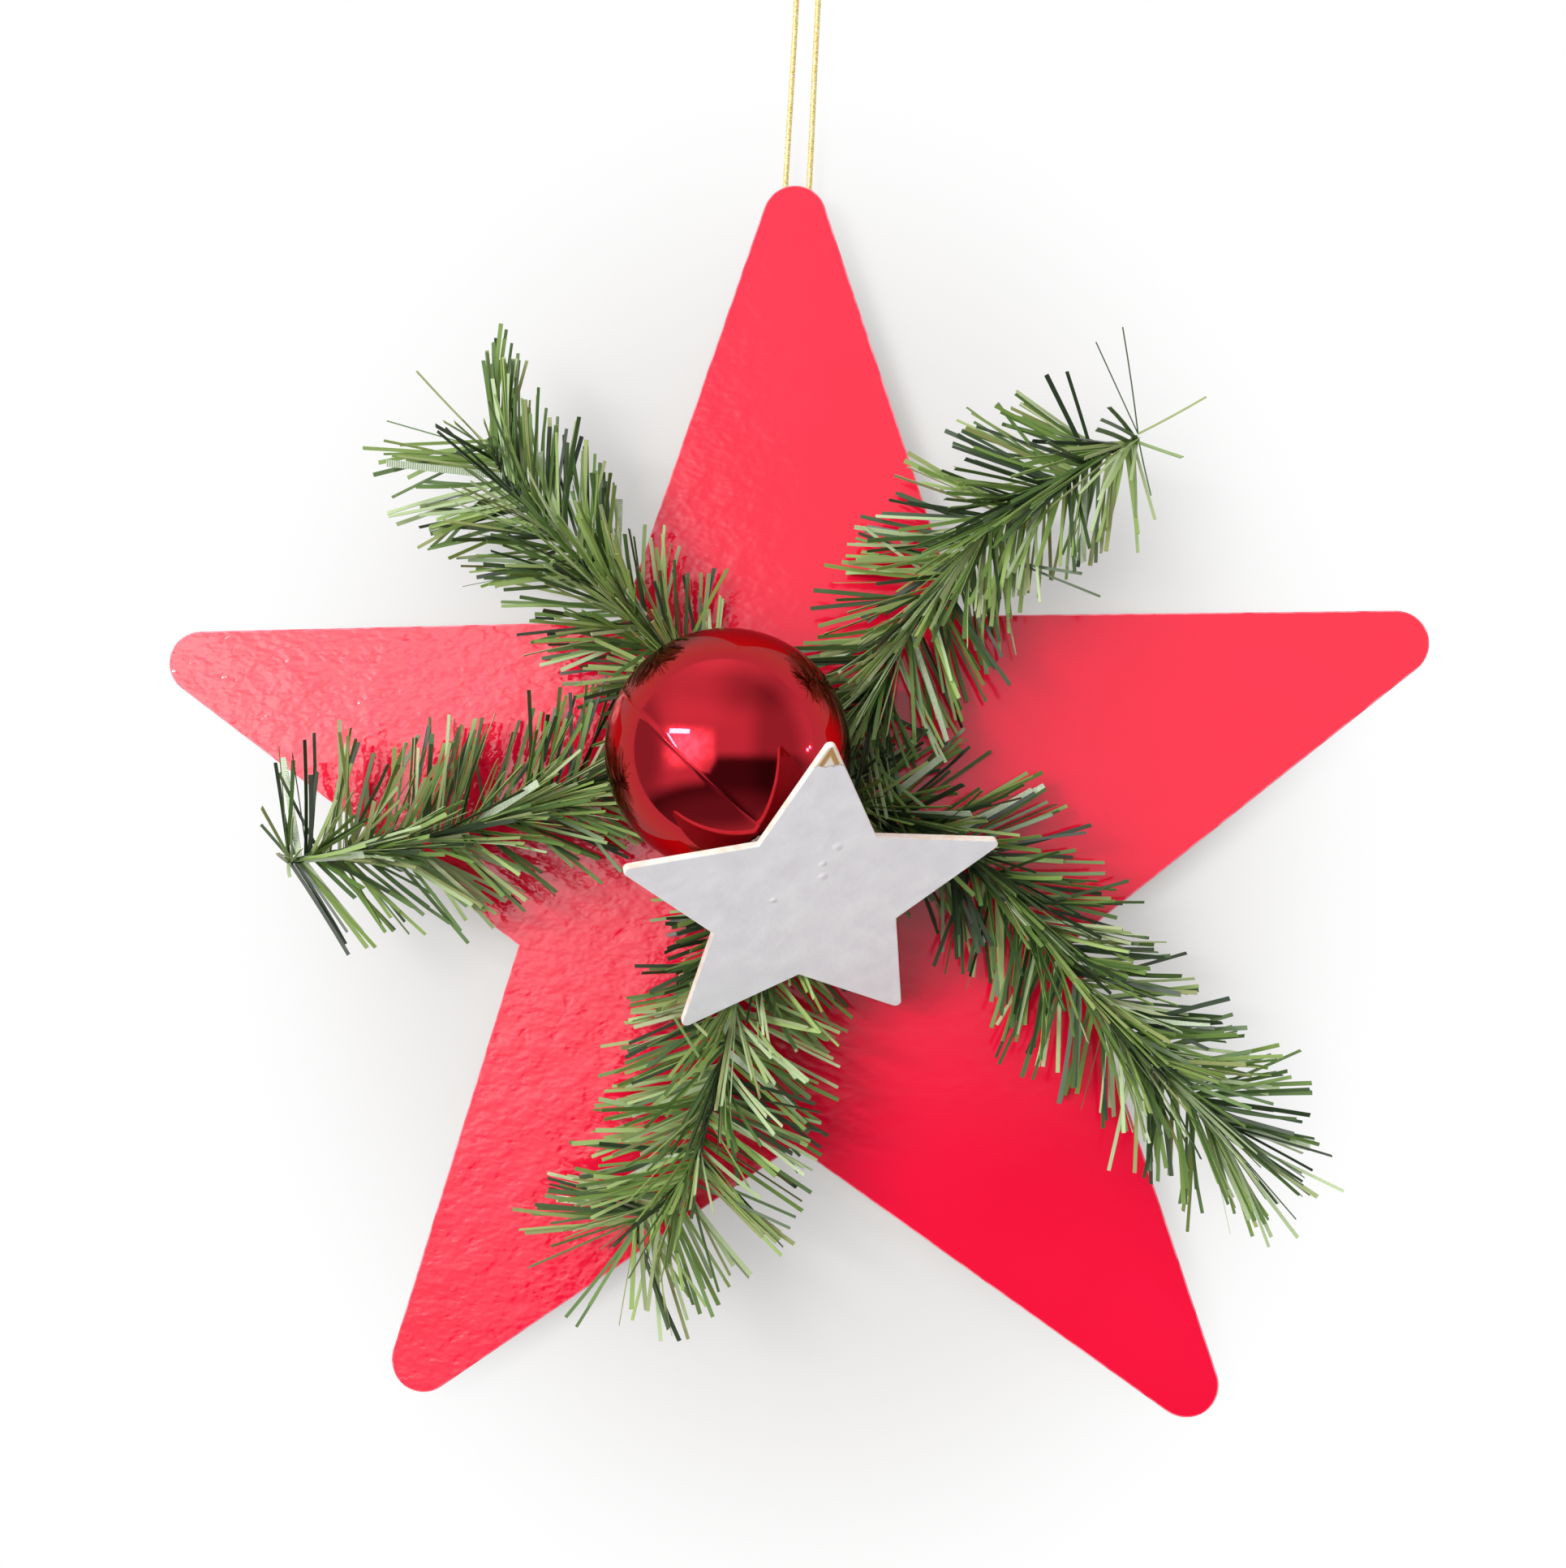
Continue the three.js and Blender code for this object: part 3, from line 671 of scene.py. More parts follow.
def white_paint():
    """White emulsion brushed thickly on board: matt, with a few lumps, chipped at the upper tip."""
    made, tree, shader, place = surface("emulsion_paint_brushed")
    stand, turn, size = (BENCH @ small_star_matrix()).decompose()
    own = add(tree, "ShaderNodeMapping", {
        "Vector": place, "Location": stand, "Rotation": turn.to_euler(), "Scale": size},
        vector_type="TEXTURE").outputs[0]
    inside, chip, in_chip_or_shadow_line = at_chip(tree, own)
    brushed = noise(tree, place, per(6), 3.0, 0.45)
    grain = noise(tree, place, per(0.7), 3.0)
    height = maths(tree, "MULTIPLY_ADD", grain, 0.06, brushed)
    for x, y, radius in PAINT_LUMPS:
        away = vector_maths(tree, "DISTANCE", own, (x, y, 0))["Value"]
        height = maths(tree, "ADD", height, fade(tree, away, radius, 0.0, 0.0, 0.7))
    height = maths(tree, "SUBTRACT", height, times(tree, chip, 0.6))
    paint = tinted(tree, brushed, (0.3, "#EFEDF2"), (0.7, "#F8F7FA"))
    rim = CHIP_RIM / CHIP_BAND / 2
    bare = tinted(tree, maths(tree, "DIVIDE", inside, 2 * CHIP_BAND), (rim - 0.05, "#F4E8D4"),
                  (rim + 0.05, "#B98B4C"), (0.42, "#C89C5C"), (0.5, "#F3EEE4"))
    # A painted shadow line in brown along the chip's lower edge
    with_shadow_line = mixed(tree, times(tree, in_chip_or_shadow_line, 0.5), paint, colour("#8E7358"))
    connect(tree, shader, {
        "Base Color": mixed(tree, chip, with_shadow_line, bare),
        "Normal": bumped(tree, height, 0.5, 0.6),
        "Roughness": 0.62,
    })
    return made


def cream_edge():
    """Cut board edge with thin paint over it: warm cream."""
    made, tree, shader, place = surface("board_edge_thinly_painted")
    wear = noise(tree, place, per(3), 4.0)
    connect(tree, shader, {
        "Base Color": tinted(tree, wear, (0.36, "#E8D2BE"), (0.5, "#EFE1D6"), (0.7, "#F2EBE6")),
        "Roughness": 0.7,
    })
    return made


def hot_glue():
    """Hot-melt glue: milky, half clear and wet looking."""
    made, tree, shader, place = surface("hot_melt_glue")
    milk = noise(tree, place, per(4), 2.0)
    connect(tree, shader, {
        "Base Color": tinted(tree, milk, (0.35, "#E9DCD2"), (0.65, "#F3ECE6")),
        "Roughness": 0.08,
        "Transmission Weight": 0.85,
        "IOR": 1.49,
    })
    return made


def gold_thread():
    """Metallised polyester thread wound on a core: pale gold glitter, with painted shade between
    its turns.
    """
    made, tree, shader, place = surface("metallised_thread_wound")
    along = add(tree, "ShaderNodeAttribute", attribute_name="length").outputs["Fac"]
    wave = maths(tree, "SINE", times(tree, along, 2 * math.pi / THREAD_PITCH))
    glitter = noise(tree, place, per(0.5), 2.0)
    # The sine dents the grooves between the turns and paints shade into them; the noise is glitter
    turns = maths(tree, "MULTIPLY_ADD", wave, 0.13, glitter)
    connect(tree, shader, {
        "Base Color": tinted(tree, turns, (0.3, "#BE9A48"), (0.5, "#EFD684"), (0.7, "#FFF4C8")),
        "Normal": bumped(tree, turns, 0.12, 0.6),
        "Metallic": 0.45,
        "Roughness": 0.36,
    })
    return made


# Camera, lamps and stage

def camera():
    """The photograph's camera."""
    made = bpy.data.objects.new("camera", bpy.data.cameras.new("camera"))
    bpy.context.scene.collection.objects.link(made)
    x, y, z = [Matrix.Rotation(math.radians(a), 4, axis) for a, axis in zip(CAMERA_TURN, "XYZ")]
    stand = Matrix.Translation(BENCH @ Vector(CAMERA_PLACE))
    made.matrix_world = stand @ UPRIGHT @ (x @ y @ z).transposed()
    made.data.sensor_width = SENSOR
    made.data.lens = SENSOR * FOCAL_PIXELS / PHOTO_HEIGHT
    made.data.clip_start = 10 * MM
    bpy.context.scene.camera = made


def lamp(name, place, aim, size, watts):
    """A rectangular soft lamp, turned to a place."""
    light = bpy.data.lights.new(name, "AREA")
    light.shape = "RECTANGLE"
    light.size, light.size_y = [s * MM for s in size]
    light.energy = watts
    made = bpy.data.objects.new(name, light)
    bpy.context.scene.collection.objects.link(made)
    stand = BENCH @ Vector(place)
    made.location = stand
    made.rotation_euler = (BENCH @ Vector(aim) - stand).to_track_quat("-Z", "Y").to_euler()
    made.visible_camera = False
    return made


def back_lamp(*lit):
    """A soft lamp behind the wall, which lights only the given pieces: those at the star's back."""
    made = lamp("back_lamp", *BACK_LAMP)
    pieces = bpy.data.collections.new("seen_from_behind")
    for each in lit:
        pieces.objects.link(each)
    made.light_linking.receiver_collection = pieces
    made.light_linking.blocker_collection = pieces


def world():
    """Plain white, the background of every view: all but the camera's own rays end in the room."""
    made = bpy.data.worlds.new("background")
    bpy.context.scene.world = made
    made.use_nodes = True
    tree = made.node_tree
    tree.nodes.clear()
    white = add(tree, "ShaderNodeBackground", {"Color": colour("#FFFFFF"), "Strength": 1.0})
    add(tree, "ShaderNodeOutputWorld", {"Surface": white.outputs[0]})


def room_light(tree, place):
    """How bright the room is in each direction, by how far that goes right, back and up."""
    direction = vector_maths(tree, "NORMALIZE", place)[0]
    right, back, up = add(tree, "ShaderNodeSeparateXYZ", {0: direction}).outputs

    # Pale walls at eye level over dark furniture, which is lower at the left
    lowered = fade(tree, right, -0.04, -0.3, 0.0, 0.38)
    height = maths(tree, "ADD", up, lowered)
    eye_level = times(tree, fade(tree, height, -0.22, 0.0, 0.1, 1.12),
                      fade(tree, up, 0.4, 0.8, 1.0, 0.55), fade(tree, right, 0.3, 0.65, 1.0, 0.55),
                      fade(tree, right, -0.72, -0.95, 1.0, 0.45))
    ceiling = times(tree, fade(tree, up, 0.25, 0.7), fade(tree, right, 0.4, -0.3),
                    fade(tree, right, -0.95, -0.55), 0.5)
    beside = times(tree, fade(tree, back, -0.45, -0.02), fade(tree, right, -0.6, 0.0), 0.45)
    floor = fade(tree, up, -0.5, -0.8, 0.0, 0.15)

    # A window, brighter at its left and uneven like its panes
    panes = noise(tree, place, 9.0 / ROOM_RADIUS, 2.0)
    glow = times(tree, fade(tree, right, -0.88, -0.6), fade(tree, right, -0.04, -0.32),
                 fade(tree, up, -0.34, 0.0), fade(tree, up, 0.4, 0.12),
                 fade(tree, right, -0.33, -0.4, 1.0, 1.5), fade(tree, panes, 0.36, 0.62, 0.6, 1.0),
                 3.8)
    level = maths(tree, "ADD", eye_level, ceiling)
    for more in (maths(tree, "ADD", floor, beside), glow):
        level = maths(tree, "ADD", level, more)
    return level


def room():
    """The pale room that lights the ornament and that its gloss mirrors. The camera sees past it."""
    made, tree, _, place = surface("room_walls")
    light = add(tree, "ShaderNodeEmission", {
        "Color": colour("#FFFFFF"), "Strength": room_light(tree, place)})
    shown_as(tree, light.outputs[0])
    bm = bmesh.new()
    bmesh.ops.create_icosphere(bm, subdivisions=5, radius=ROOM_RADIUS)
    stage_piece("room", bm, made, STAR_CENTRE).visible_camera = False


def wall():
    """A pale painted wall that the ornament hangs on, white further out. Its back is see-through."""
    made, tree, shader, place = surface("wall_paint")
    connect(tree, shader, {"Base Color": colour("#CECBC9"), "Roughness": 0.9})
    around = vector_maths(tree, "SUBTRACT", place, (STAR_CENTRE.x, 0, STAR_CENTRE.z))[0]
    flat = vector_maths(tree, "MULTIPLY", around, WHITE_STRETCH)[0]
    reach = vector_maths(tree, "LENGTH", flat)["Value"]
    # The white is emitted for camera and mirrored rays; near the star it is painted light over shadow
    far = fade(tree, reach, WHITE_FROM * MM, WHITE_TO * MM, WHITE_NEAR, 1.0)
    path = add(tree, "ShaderNodeLightPath").outputs
    mirrored = maths(tree, "MAXIMUM", path["Is Glossy Ray"], path["Is Transmission Ray"])
    shown_to = maths(tree, "MAXIMUM", path["Is Camera Ray"], mirrored)
    white = add(tree, "ShaderNodeEmission", {"Color": colour("#FFFFFF"), "Strength": 1.0})
    lit = add(tree, "ShaderNodeMixShader", {
        0: times(tree, far, shown_to), 1: shader.outputs[0], 2: white.outputs[0]})
    facing = add(tree, "ShaderNodeNewGeometry")
    clear = add(tree, "ShaderNodeBsdfTransparent")
    shown = add(tree, "ShaderNodeMixShader", {
        0: facing.outputs["Backfacing"], 1: lit.outputs[0], 2: clear.outputs[0]})
    shown_as(tree, shown.outputs[0])
    bm = bmesh.new()
    bmesh.ops.create_grid(bm, x_segments=1, y_segments=1, size=WALL_REACH)
    behind = BENCH @ Matrix.Translation((0, 0, -WALL_BEHIND_FRONT))
    bmesh.ops.transform(bm, matrix=behind, verts=bm.verts)
    stage_piece("wall", bm, made)


# Cord

def cord():
    """A core wound with gold thread, folded over the hook, with both ends in the glue."""
    centre = smooth_route([(x, 0, z) for x, z in CORD_ROUTE], CORD_STEP)
    bm = bmesh.new()
    strand_mesh(bm, centre, CORD_DIAMETER / 2, CORD_SIDES)
    hook = Matrix.Translation((0, 0, CORD_DIAMETER / 2 * MM)) @ Matrix.Scale(MM, 4)
    made = piece("gold_cord", bm, [gold_thread()], ["hanging_cord"], place=hook)
    reached = lengths_along(centre)
    layer = made.data.attributes.new("length", "FLOAT", "POINT")
    layer.data.foreach_set("value", np.repeat(reached, CORD_SIDES).astype(np.float32))
    path = [hook @ p for p in centre]
    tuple(path[0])
    return made


# Large star

def large_star():
    """The board and the gloss sheet on its front, with the sheet's front edge rounded."""
    bm = merged_copy("star_front_sheet")
    rim = [e for e in bm.edges
           if max(v.co.y for v in e.verts) < SHEET_FRONT + MERGE_DISTANCE * MM]
    bmesh.ops.bevel(bm, geom=rim, offset=EDGE_ROUNDING * MM, segments=3, profile=0.5,
                    affect="EDGES", material=-1)
    # The rounded edge's faces get the second material, a painted highlight
    for face in bm.faces:
        face.material_index = 0 if face.normal.y < -0.99 else 1
    in_place = Matrix.Identity(4)
    sheet = piece("gloss_front", bm, [gloss_film(), film_edge()],
                  ["star_front_sheet"], place=in_place)
    board = piece("star_board_core", merged_copy("star_board"), [fibreboard()],
                  ["star_board"], place=in_place)
    for made in (sheet, board):
        made.modifiers.new("even_shading", "WEIGHTED_NORMAL").keep_sharp = True
    return board


# Garlands

def lay_at(lay, share, right):
    """The needles' lean from the wire and their turn, on one side, between the nearest given ones."""
    for (a, *before), (b, *after) in zip(lay, lay[1:]):
        if share <= b:
            mix = (share - a) / (b - a)
            lean, turn = [before[i] + (after[i] - before[i]) * mix for i in (right, 2 + right)]
            return lean, turn


def painted_shade_at(place):
    """How much painted shade darkens the film at a place on the bench, from 0 to 1."""
    most = 0.0
    for spot, radius, depth in SHADED_SPOTS:
        away = math.hypot(place.x - spot[0], place.y - spot[1]) / radius
        most = max(most, depth * max(0.0, 1 - away * away))
    return most


def tuft_lie(lean, ahead, draw):
    """A tuft's lean, its rise, whether its needles stray, and its shade. Ahead is how much wire is
    left: near its end no tuft lies over the crown."""
    lean += draw.gauss(0, TUFT_LEAN_SPREAD)
    at_side = draw.random() < SIDE_SHARE
    rise = draw.gauss(*SIDE_RISE) if at_side else draw.uniform(*OTHER_RISE_RANGE)
    if draw.random() < CROWN_SHARE and ahead > CROWN_END:
        rise = draw.gauss(*CROWN_RISE)
        lean *= CROWN_LEAN
    stray = draw.random() < STRAY_SHARE
    return lean, rise, stray, draw.random()


def fringe(route, lay, fanned_end, draw):
    """Yields each needle: its root, its run to the tip, the direction across it, its width, the
    direction from the wire to its root, and its shade.

    The film was cut into a fringe and twisted into the wire, then pressed nearly flat in its box.
    So needles come in tufts of neighbours that lie alike, most of them at the wire's two sides and
    the rest over its crown, where they lean further along it.
    """
    lengths = lengths_along(route)
    total = lengths[-1]
    tufts = round(total * NEEDLES_PER_MM / TUFT)
    for tuft in range(tufts):
        middle = (tuft + draw.random()) / tufts * total
        right = tuft % 2
        lean, turn = lay_at(lay, middle / total, right)
        lean, rise, stray, shade = tuft_lie(lean, total - middle, draw)
        for i in range(TUFT):
            beside = (i - (TUFT - 1) / 2) * TUFT_SPREAD / TUFT
            place_along = middle + beside + draw.gauss(0, ROOT_SPREAD)
            station = min(total - END_GAP, max(0.0, place_along))
            k = next(j for j, reached in enumerate(lengths[1:]) if reached > station)
            step = route[k + 1] - route[k]
            place = route[k] + step * (station - lengths[k]) / step.length
            forward = step.normalized()
            side = forward.cross(OUT).normalized() * (1 if right else -1)
            over = (OUT - OUT.dot(forward) * forward).normalized()
            up = math.radians(rise + draw.gauss(0, RISE_SPREAD))
            spoke = math.cos(up) * side + math.sin(up) * over
            tilt = lean + draw.gauss(0, LEAN_SPREAD)
            if stray:
                least, most = STRAY_LEAN_RANGE
                tilt = min(most, max(least, tilt + draw.gauss(0, STRAY_SPREAD)))
            if total - station < fanned_end:
                tilt *= draw.uniform(*FAN_RANGE)
            tilt = math.radians(tilt)
            direction = math.cos(tilt) * forward + math.sin(tilt) * spoke
            wide = (forward - forward.dot(direction) * direction).normalized()
            twist = draw.gauss(0, turn if draw.random() < LEVEL_SHARE else TWIST_SPREAD)
            wide = Matrix.Rotation(math.radians(twist), 3, direction) @ wide
            run = NEEDLE_LENGTH * draw.uniform(*LENGTH_RANGE) * direction
            ribbed = draw.random() < RIBBED_SHARE
            width = NEEDLE_WIDTH * (RIBBED_WIDTH if ribbed else draw.uniform(*WIDTH_RANGE))
            own_shade = RIBBED_SHADE
            if not ribbed:
                # Painted shade: darker film at the shaded spots and on the needles' upper side
                darker = painted_shade_at(place) + UPPER_WING_SHADE * max(0.0, spoke.y)
                own_shade = min(PALEST, max(0.0, draw.gauss(shade, SHADE_SPREAD) - darker))
            yield place + ROOT_RADIUS * spoke, run, wide, width, spoke, own_shade


def loose_needles(needles):
    """Yields the loose needles and fibres as fringe does."""
    for root, tip, width, shade in needles:
        run = Vector(tip) - Vector(root)
        yield Vector(root), run, run.cross(OUT).normalized(), width, OUT, shade


def small_star_reach(angle):
    """How far the small star reaches from its middle in a direction of its own plane."""
    sector = math.radians(36)
    off = abs((angle - math.pi / 2 + sector) % (2 * sector) - sector)
    return SMALL_TIP * SMALL_VALLEY * math.sin(sector) / (
        SMALL_TIP * math.sin(off) + SMALL_VALLEY * math.sin(sector - off))


def bent_clear(line, gap, on_board, to_small_star):
    """A needle's points, bent off the sheet, the wall and the small star, or cut at the bauble.
    Towards its tip it keeps off by the gap as well."""
    made = []
    for i, place in enumerate(line):
        if (place - BAUBLE_CENTRE).length < BAUBLE_RADIUS + BAUBLE_CLEARANCE:
            break
        off = gap * (i / (len(line) - 1))
        own = to_small_star @ place
        reach = small_star_reach(math.atan2(own.y, own.x))
        if math.hypot(own.x, own.y) < reach + SMALL_STAR_MARGIN:
            own.z = min(own.z, -SMALL_THICKNESS - SMALL_STAR_CLEARANCE - off)
            place = to_small_star.inverted() @ own
        drop = 0 if on_board(place) else WALL_BEHIND_FRONT - WALL_CLEARANCE
        place.z = max(place.z, SHEET_CLEARANCE + off - drop)
        made.append(place)
    return made


def needle_template():
    """One flat needle, 1 mm wide and thick and 1 long, with its uv map along the strip."""
    bm = bmesh.new()
    bmesh.ops.create_cube(bm, size=1, matrix=Matrix.Translation((0, 0, 0.5)))
    lengthwise = [e for e in bm.edges if abs(e.verts[0].co.z - e.verts[1].co.z) > 0.5]
    bmesh.ops.subdivide_edges(bm, edges=lengthwise, cuts=NEEDLE_STATIONS - 2)
    layer = bm.loops.layers.uv.new("strip")
    for face in bm.faces:
        for loop in face.loops:
            loop[layer].uv = (loop.vert.co.x + 0.5, loop.vert.co.z)
    return mesh_of("needle_template", bm)


def swept(shape, line, wide, width):
    """The template's vertices, swept along a needle's line and widened in a direction."""
    line = np.array(line)
    wide = np.array(wide)
    ahead = np.gradient(line, axis=0)
    ahead /= np.linalg.norm(ahead, axis=1)[:, None]
    across = wide - (ahead @ wide)[:, None] * ahead
    across /= np.linalg.norm(across, axis=1)[:, None]
    thick = np.cross(ahead, across)
    part = shape[:, 2] * (len(line) - 1)
    low = np.minimum(part.astype(int), len(line) - 2)
    mix = (part - low)[:, None]
    middle = line[low] * (1 - mix) + line[low + 1] * mix
    return (middle + shape[:, :1] * width * across[low]
            + shape[:, 1:2] * NEEDLE_THICKNESS * thick[low])


def garland_needles(name, garland, material, on_board):
    """All the needles of one garland as one mesh, each with its own shade."""
    draw = random.Random(garland["seed"])
    template = needle_template()
    shape = np.array([v.co for v in template.vertices])
    to_small_star = small_star_matrix().inverted()
    bm = bmesh.new()
    places = []
    shades = []
    route = smooth_route(garland["route"], ROOT_STEP)
    needles = [*fringe(route, garland["lay"], garland["fanned_end"], draw),
               *loose_needles(garland["loose"])]
    for root, run, wide, width, spoke, shade in needles:
        bow = run.length * (draw.gauss(*BOW) * spoke + draw.gauss(0, SIDE_BOW_SPREAD) * wide)
        gap = draw.uniform(*GAP_RANGE)
        shares = [i / (NEEDLE_STATIONS - 1) for i in range(NEEDLE_STATIONS)]
        line = [root + t * run + t * t * bow for t in shares]
        line = bent_clear(line, gap, on_board, to_small_star)
        if len(line) < 2:
            continue
        places.append(swept(shape, line, wide, width))
        shades.append(shade)
        bm.from_mesh(template)
    mesh = mesh_of(name, bm)
    stand = np.array(BENCH)
    co = np.concatenate(places) @ stand[:3, :3].T + stand[:3, 3]
    mesh.vertices.foreach_set("co", co.astype(np.float32).ravel())
    mesh.update()
    layer = mesh.attributes.new("shade", "FLOAT", "FACE")
    layer.data.foreach_set("value", np.repeat(shades, len(template.polygons)).astype(np.float32))
    bpy.data.meshes.remove(template)
    piece_of_mesh(name, mesh, [material], garland["nodes"], smooth=False)


def garland_wire(name, points, node, material):
    """Two soft wires twisted together."""
    route = smooth_route(points, WIRE_STEP)
    strand = WIRE_DIAMETER / 4
    bm = bmesh.new()
    for phase in (0, math.pi):
        line = []
        for i, (place, _, side, over) in enumerate(frames_along(route)):
            turn = phase + 2 * math.pi * i / WIRE_TWIST
            line.append(place + strand * (math.cos(turn) * side + math.sin(turn) * over))
        strand_mesh(bm, line, strand, WIRE_SIDES)
    piece(name, bm, [material], [node])


def garlands():
    """The three pieces of garland, each a twisted wire and its needles."""
    board = merged_copy("star_board")
    tree = BVHTree.FromBMesh(board)
    board.free()

    def on_board(place):
        """Whether a place on the bench is over the board, as seen from 50 mm above it."""
        start = BENCH @ Vector((place.x, place.y, 50))
        return tree.ray_cast(start, Vector((0, 1, 0)), 200 * MM)[0] is not None

    film = pvc_film()
    wire = twisted_wire()
    for name, garland in GARLANDS.items():
        garland_needles(f"{name}_fir", garland, film, on_board)
        garland_wire(f"{name}_twisted_wire", garland["route"], f"{name}_wire", wire)


# Bauble

def set_on_bauble(bm, axis):
    """Faces a spun shape outwards, and sets it on the bauble's centre along an axis."""
    bmesh.ops.recalc_face_normals(bm, faces=bm.faces)
    turn = axis.to_track_quat("Z", "Y").to_matrix().to_4x4()
    bmesh.ops.transform(bm, matrix=Matrix.Translation(BAUBLE_CENTRE) @ turn, verts=bm.verts)


def bauble():
    """A blown ball with its mould seam, a fine ridge on a small circle."""
    seam = math.acos(SEAM_OFFSET / BAUBLE_RADIUS)
    even = [math.pi * i / BAUBLE_RINGS for i in range(BAUBLE_RINGS + 1)]
    ridge = [seam + k * SEAM_WIDTH / BAUBLE_RADIUS / 2 for k in (-1, -0.5, 0, 0.5, 1)]
    profile = []
    for angle in sorted([a for a in even if abs(a - seam) > SEAM_MARGIN] + ridge):
        away = abs(angle - seam) * BAUBLE_RADIUS / (SEAM_WIDTH / 2)
        radius = BAUBLE_RADIUS + SEAM_HEIGHT * max(0.0, 1 - away)
        profile.append((radius * math.sin(angle), radius * math.cos(angle)))
    bm = spun(profile, BAUBLE_STEPS)
    set_on_bauble(bm, SEAM_NORMAL)
    piece("bauble_ball", bm, [red_lacquer()], ["bauble_shell"])


def bauble_cap():
    """A pressed cap with a rounded shoulder and a crimped, flared skirt, and metal on its ring."""
    inside = CAP_RADIUS - CAP_WALL
    bm = spun([
        (0, CAP_TOP), (inside - 0.6, CAP_TOP), (inside + 0.1, CAP_TOP - 0.15),
        (CAP_RADIUS - 0.1, CAP_TOP - 0.6), (CAP_RADIUS - 0.1, CAP_SKIRT + 1.2),
        (CAP_RADIUS, CAP_SKIRT), (inside, CAP_SKIRT), (inside, CAP_TOP - CAP_WALL),
        (0, CAP_TOP - CAP_WALL),
    ], CAP_STEPS)
    for v in bm.verts:
        low = min(1.0, max(0.0, (CAP_TOP - 1.0 - v.co.z) / 2))
        flute = 1 + FLUTE_DEPTH * low * math.cos(CAP_FLUTES * math.atan2(v.co.y, v.co.x))
        v.co.x *= flute
        v.co.y *= flute
    set_on_bauble(bm, NECK_AXIS)
    metal = pressed_metal()
    piece("bauble_crimped_cap", bm, [metal], ["bauble_cap"])
    ring = frame["nodes"]["bauble_ring"]
    ring.data.materials.clear()
    ring.data.materials.append(metal)


# Small star

def small_star_matrix():
    """Where the small star is on the bench: glued to the bauble, its lowest tip over the sheet."""
    x, y, z = [Matrix.Rotation(math.radians(a), 3, axis) for a, axis in zip(SMALL_TURN, "XYZ")]
    turn = x @ y @ z
    right, up, normal = turn.transposed()
    place = BAUBLE_CENTRE + normal * (BAUBLE_RADIUS + GLUE_FILM + SMALL_THICKNESS)
    place += right * SMALL_SIDEWAYS
    foot = math.radians(90 - 2 * 72)
    drop = (turn @ Vector((SMALL_TIP * math.cos(foot), SMALL_TIP * math.sin(foot), 0))).z
    place += up * (SMALL_FOOT_HEIGHT - drop - place.z) / up.z
    return Matrix.Translation(place) @ turn.to_4x4()


def small_tip_half_angle():
    """Half the angle of the small star's tips."""
    sector = math.radians(36)
    return math.atan2(SMALL_VALLEY * math.sin(sector), SMALL_TIP - SMALL_VALLEY * math.cos(sector))


def small_star_outline():
    """The small star's outline, with its tips rounded."""
    half = small_tip_half_angle()
    centre = SMALL_TIP - SMALL_TIP_ROUNDING / math.sin(half)
    made = []
    for i in range(10):
        middle = math.radians(90 - 36 * i)
        if i % 2:
            made.append((SMALL_VALLEY * math.cos(middle), SMALL_VALLEY * math.sin(middle), 0))
            continue
        for step in range(-SMALL_TIP_STEPS, SMALL_TIP_STEPS + 1):
            angle = middle - step / SMALL_TIP_STEPS * (math.pi / 2 - half)
            made.append((centre * math.cos(middle) + SMALL_TIP_ROUNDING * math.cos(angle),
                         centre * math.sin(middle) + SMALL_TIP_ROUNDING * math.sin(angle), 0))
    return made


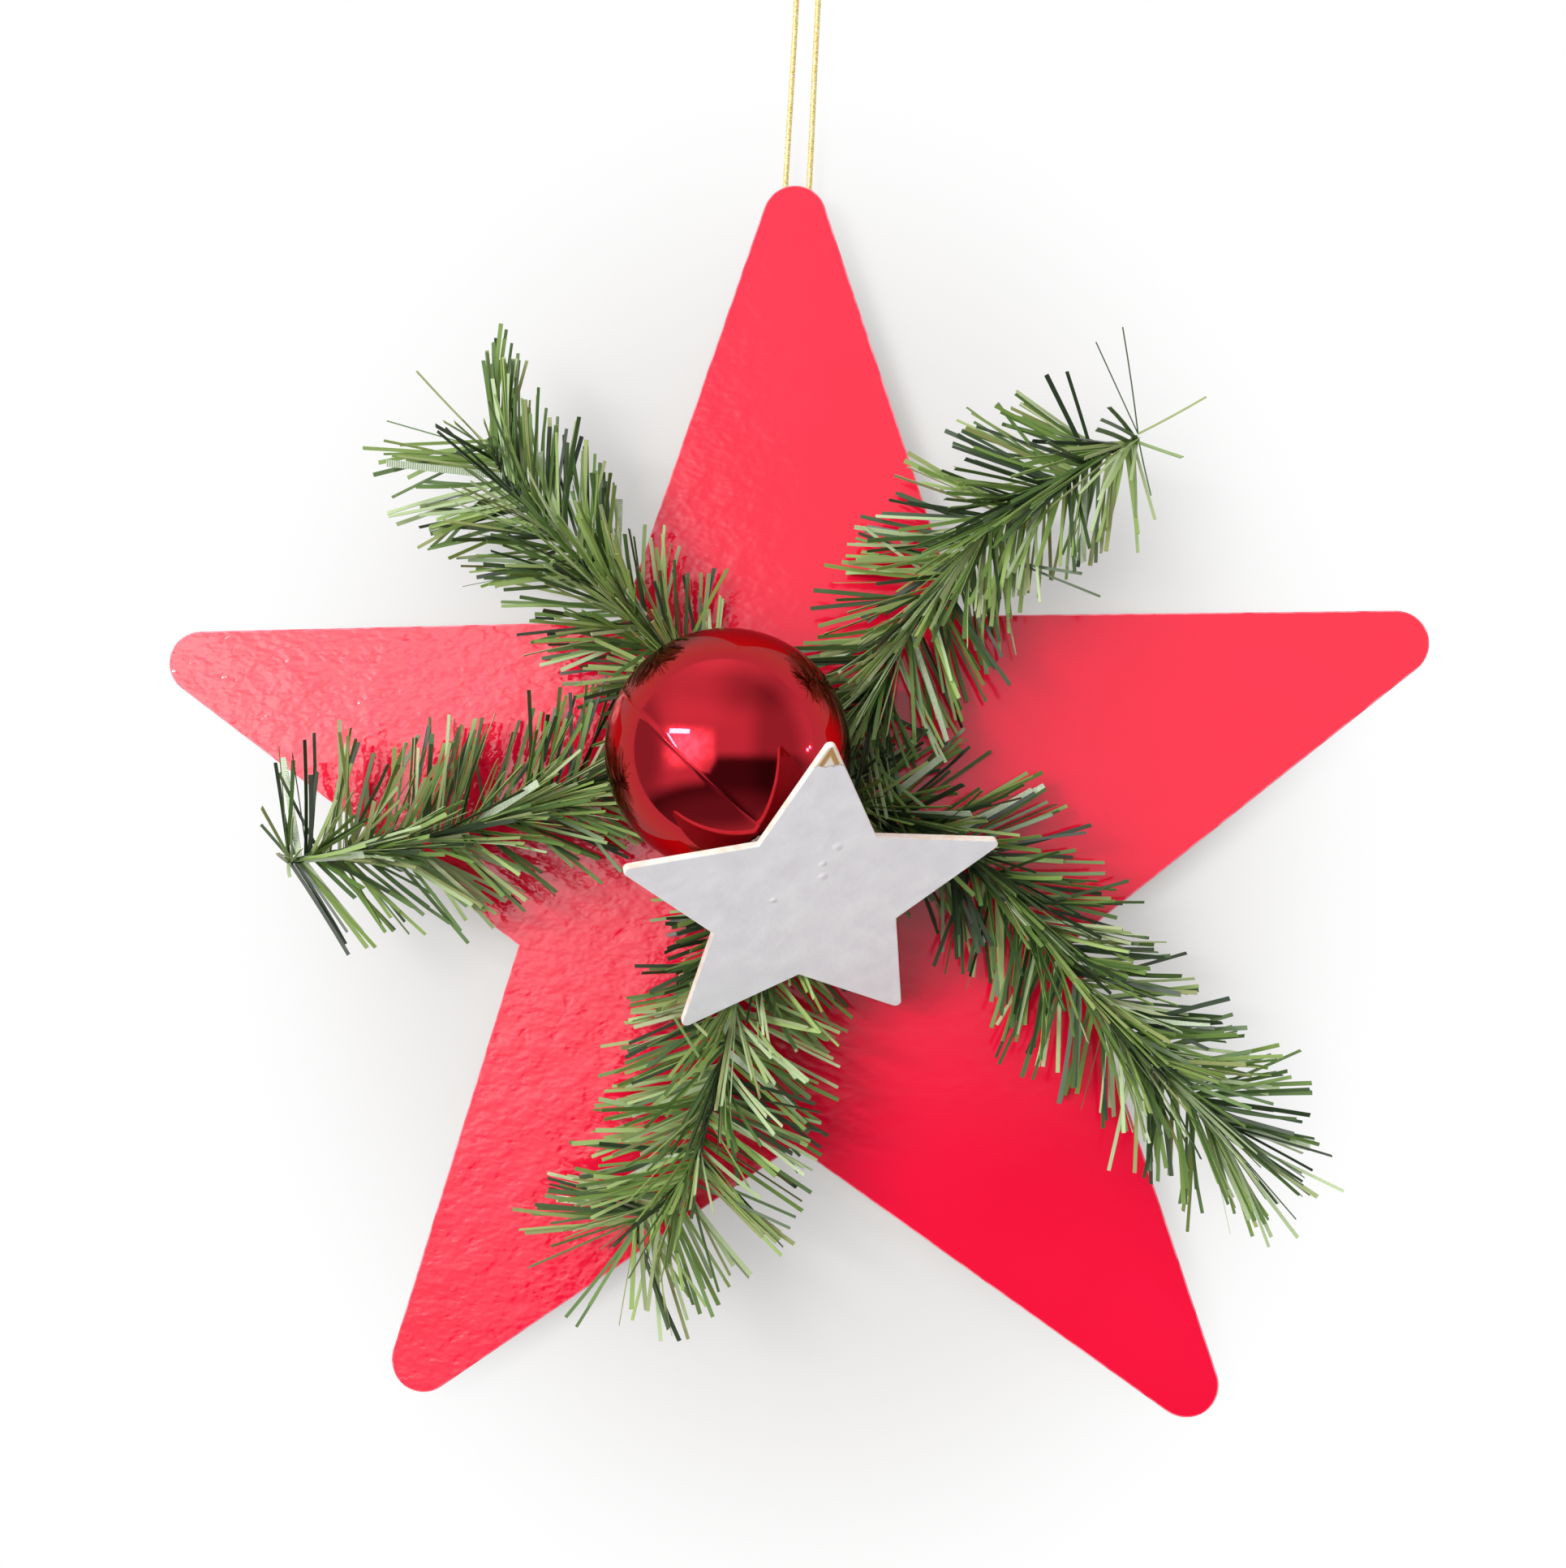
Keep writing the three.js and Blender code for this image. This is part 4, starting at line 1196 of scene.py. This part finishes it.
def small_star():
    """A star cut from thin board with rounded tips and softened edges."""
    bm = bmesh.new()
    front = bm.faces.new([bm.verts.new(place) for place in small_star_outline()])
    front.normal_update()
    if front.normal.z < 0:
        front.normal_flip()
    sides = bmesh.ops.extrude_face_region(bm, geom=[front])["geom"]
    lower = [v for v in sides if isinstance(v, bmesh.types.BMVert)]
    bmesh.ops.translate(bm, vec=(0, 0, -SMALL_THICKNESS), verts=lower)
    bmesh.ops.recalc_face_normals(bm, faces=bm.faces)
    rims = [e for e in bm.edges if abs(e.verts[0].co.z - e.verts[1].co.z) < 0.1]
    bmesh.ops.bevel(bm, geom=rims, offset=SMALL_EDGE_ROUNDING, segments=3, profile=0.5,
                    affect="EDGES", material=-1)
    for face in bm.faces:
        face.material_index = 0 if abs(face.normal.z) > 0.9 else 1
    made = piece("small_star_painted", bm, [white_paint(), cream_edge()],
                 ["small_star"], place=BENCH @ small_star_matrix())
    made.modifiers.new("even_shading", "WEIGHTED_NORMAL").keep_sharp = True


# Glue

def glue(name, node, material):
    """A smooth blob in the space of its CAD solid."""
    blob = bpy.data.objects.new(name, mesh_of(name, merged_copy(node)))
    bpy.context.scene.collection.objects.link(blob)
    remesh = blob.modifiers.new("even", "REMESH")
    remesh.mode = "VOXEL"
    remesh.voxel_size = GLUE_VOXEL * MM
    relax = blob.modifiers.new("round", "SMOOTH")
    relax.iterations = GLUE_SMOOTHING
    relax.factor = GLUE_SOFTNESS
    graph = bpy.context.evaluated_depsgraph_get()
    smooth = bpy.data.meshes.new_from_object(blob.evaluated_get(graph))
    bpy.data.objects.remove(blob)
    return piece_of_mesh(name, smooth, [material], [node])


def glues():
    """The four dabs of glue. Gives back the one on the star's back."""
    material = hot_glue()
    glue("glue_at_centre", "centre_glue", material)
    glue("glue_under_small_star", "small_star_glue", material)
    glue("glue_at_small_star_foot", "small_star_foot_glue", material)
    return glue("glue_on_cord_ends", "cord_glue", material)


camera()
hanging_cord = cord()
world()
room()
for lamp_name, lamp_values in LAMPS.items():
    lamp(lamp_name, *lamp_values)
wall()
star_board = large_star()
garlands()
bauble()
bauble_cap()
small_star()
cord_glue = glues()
back_lamp(hanging_cord, star_board, cord_glue)

bpy.context.scene.view_settings.view_transform = "Standard"
boxes = [[list(corner) for corner in box] for box in (cad_box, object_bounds())]
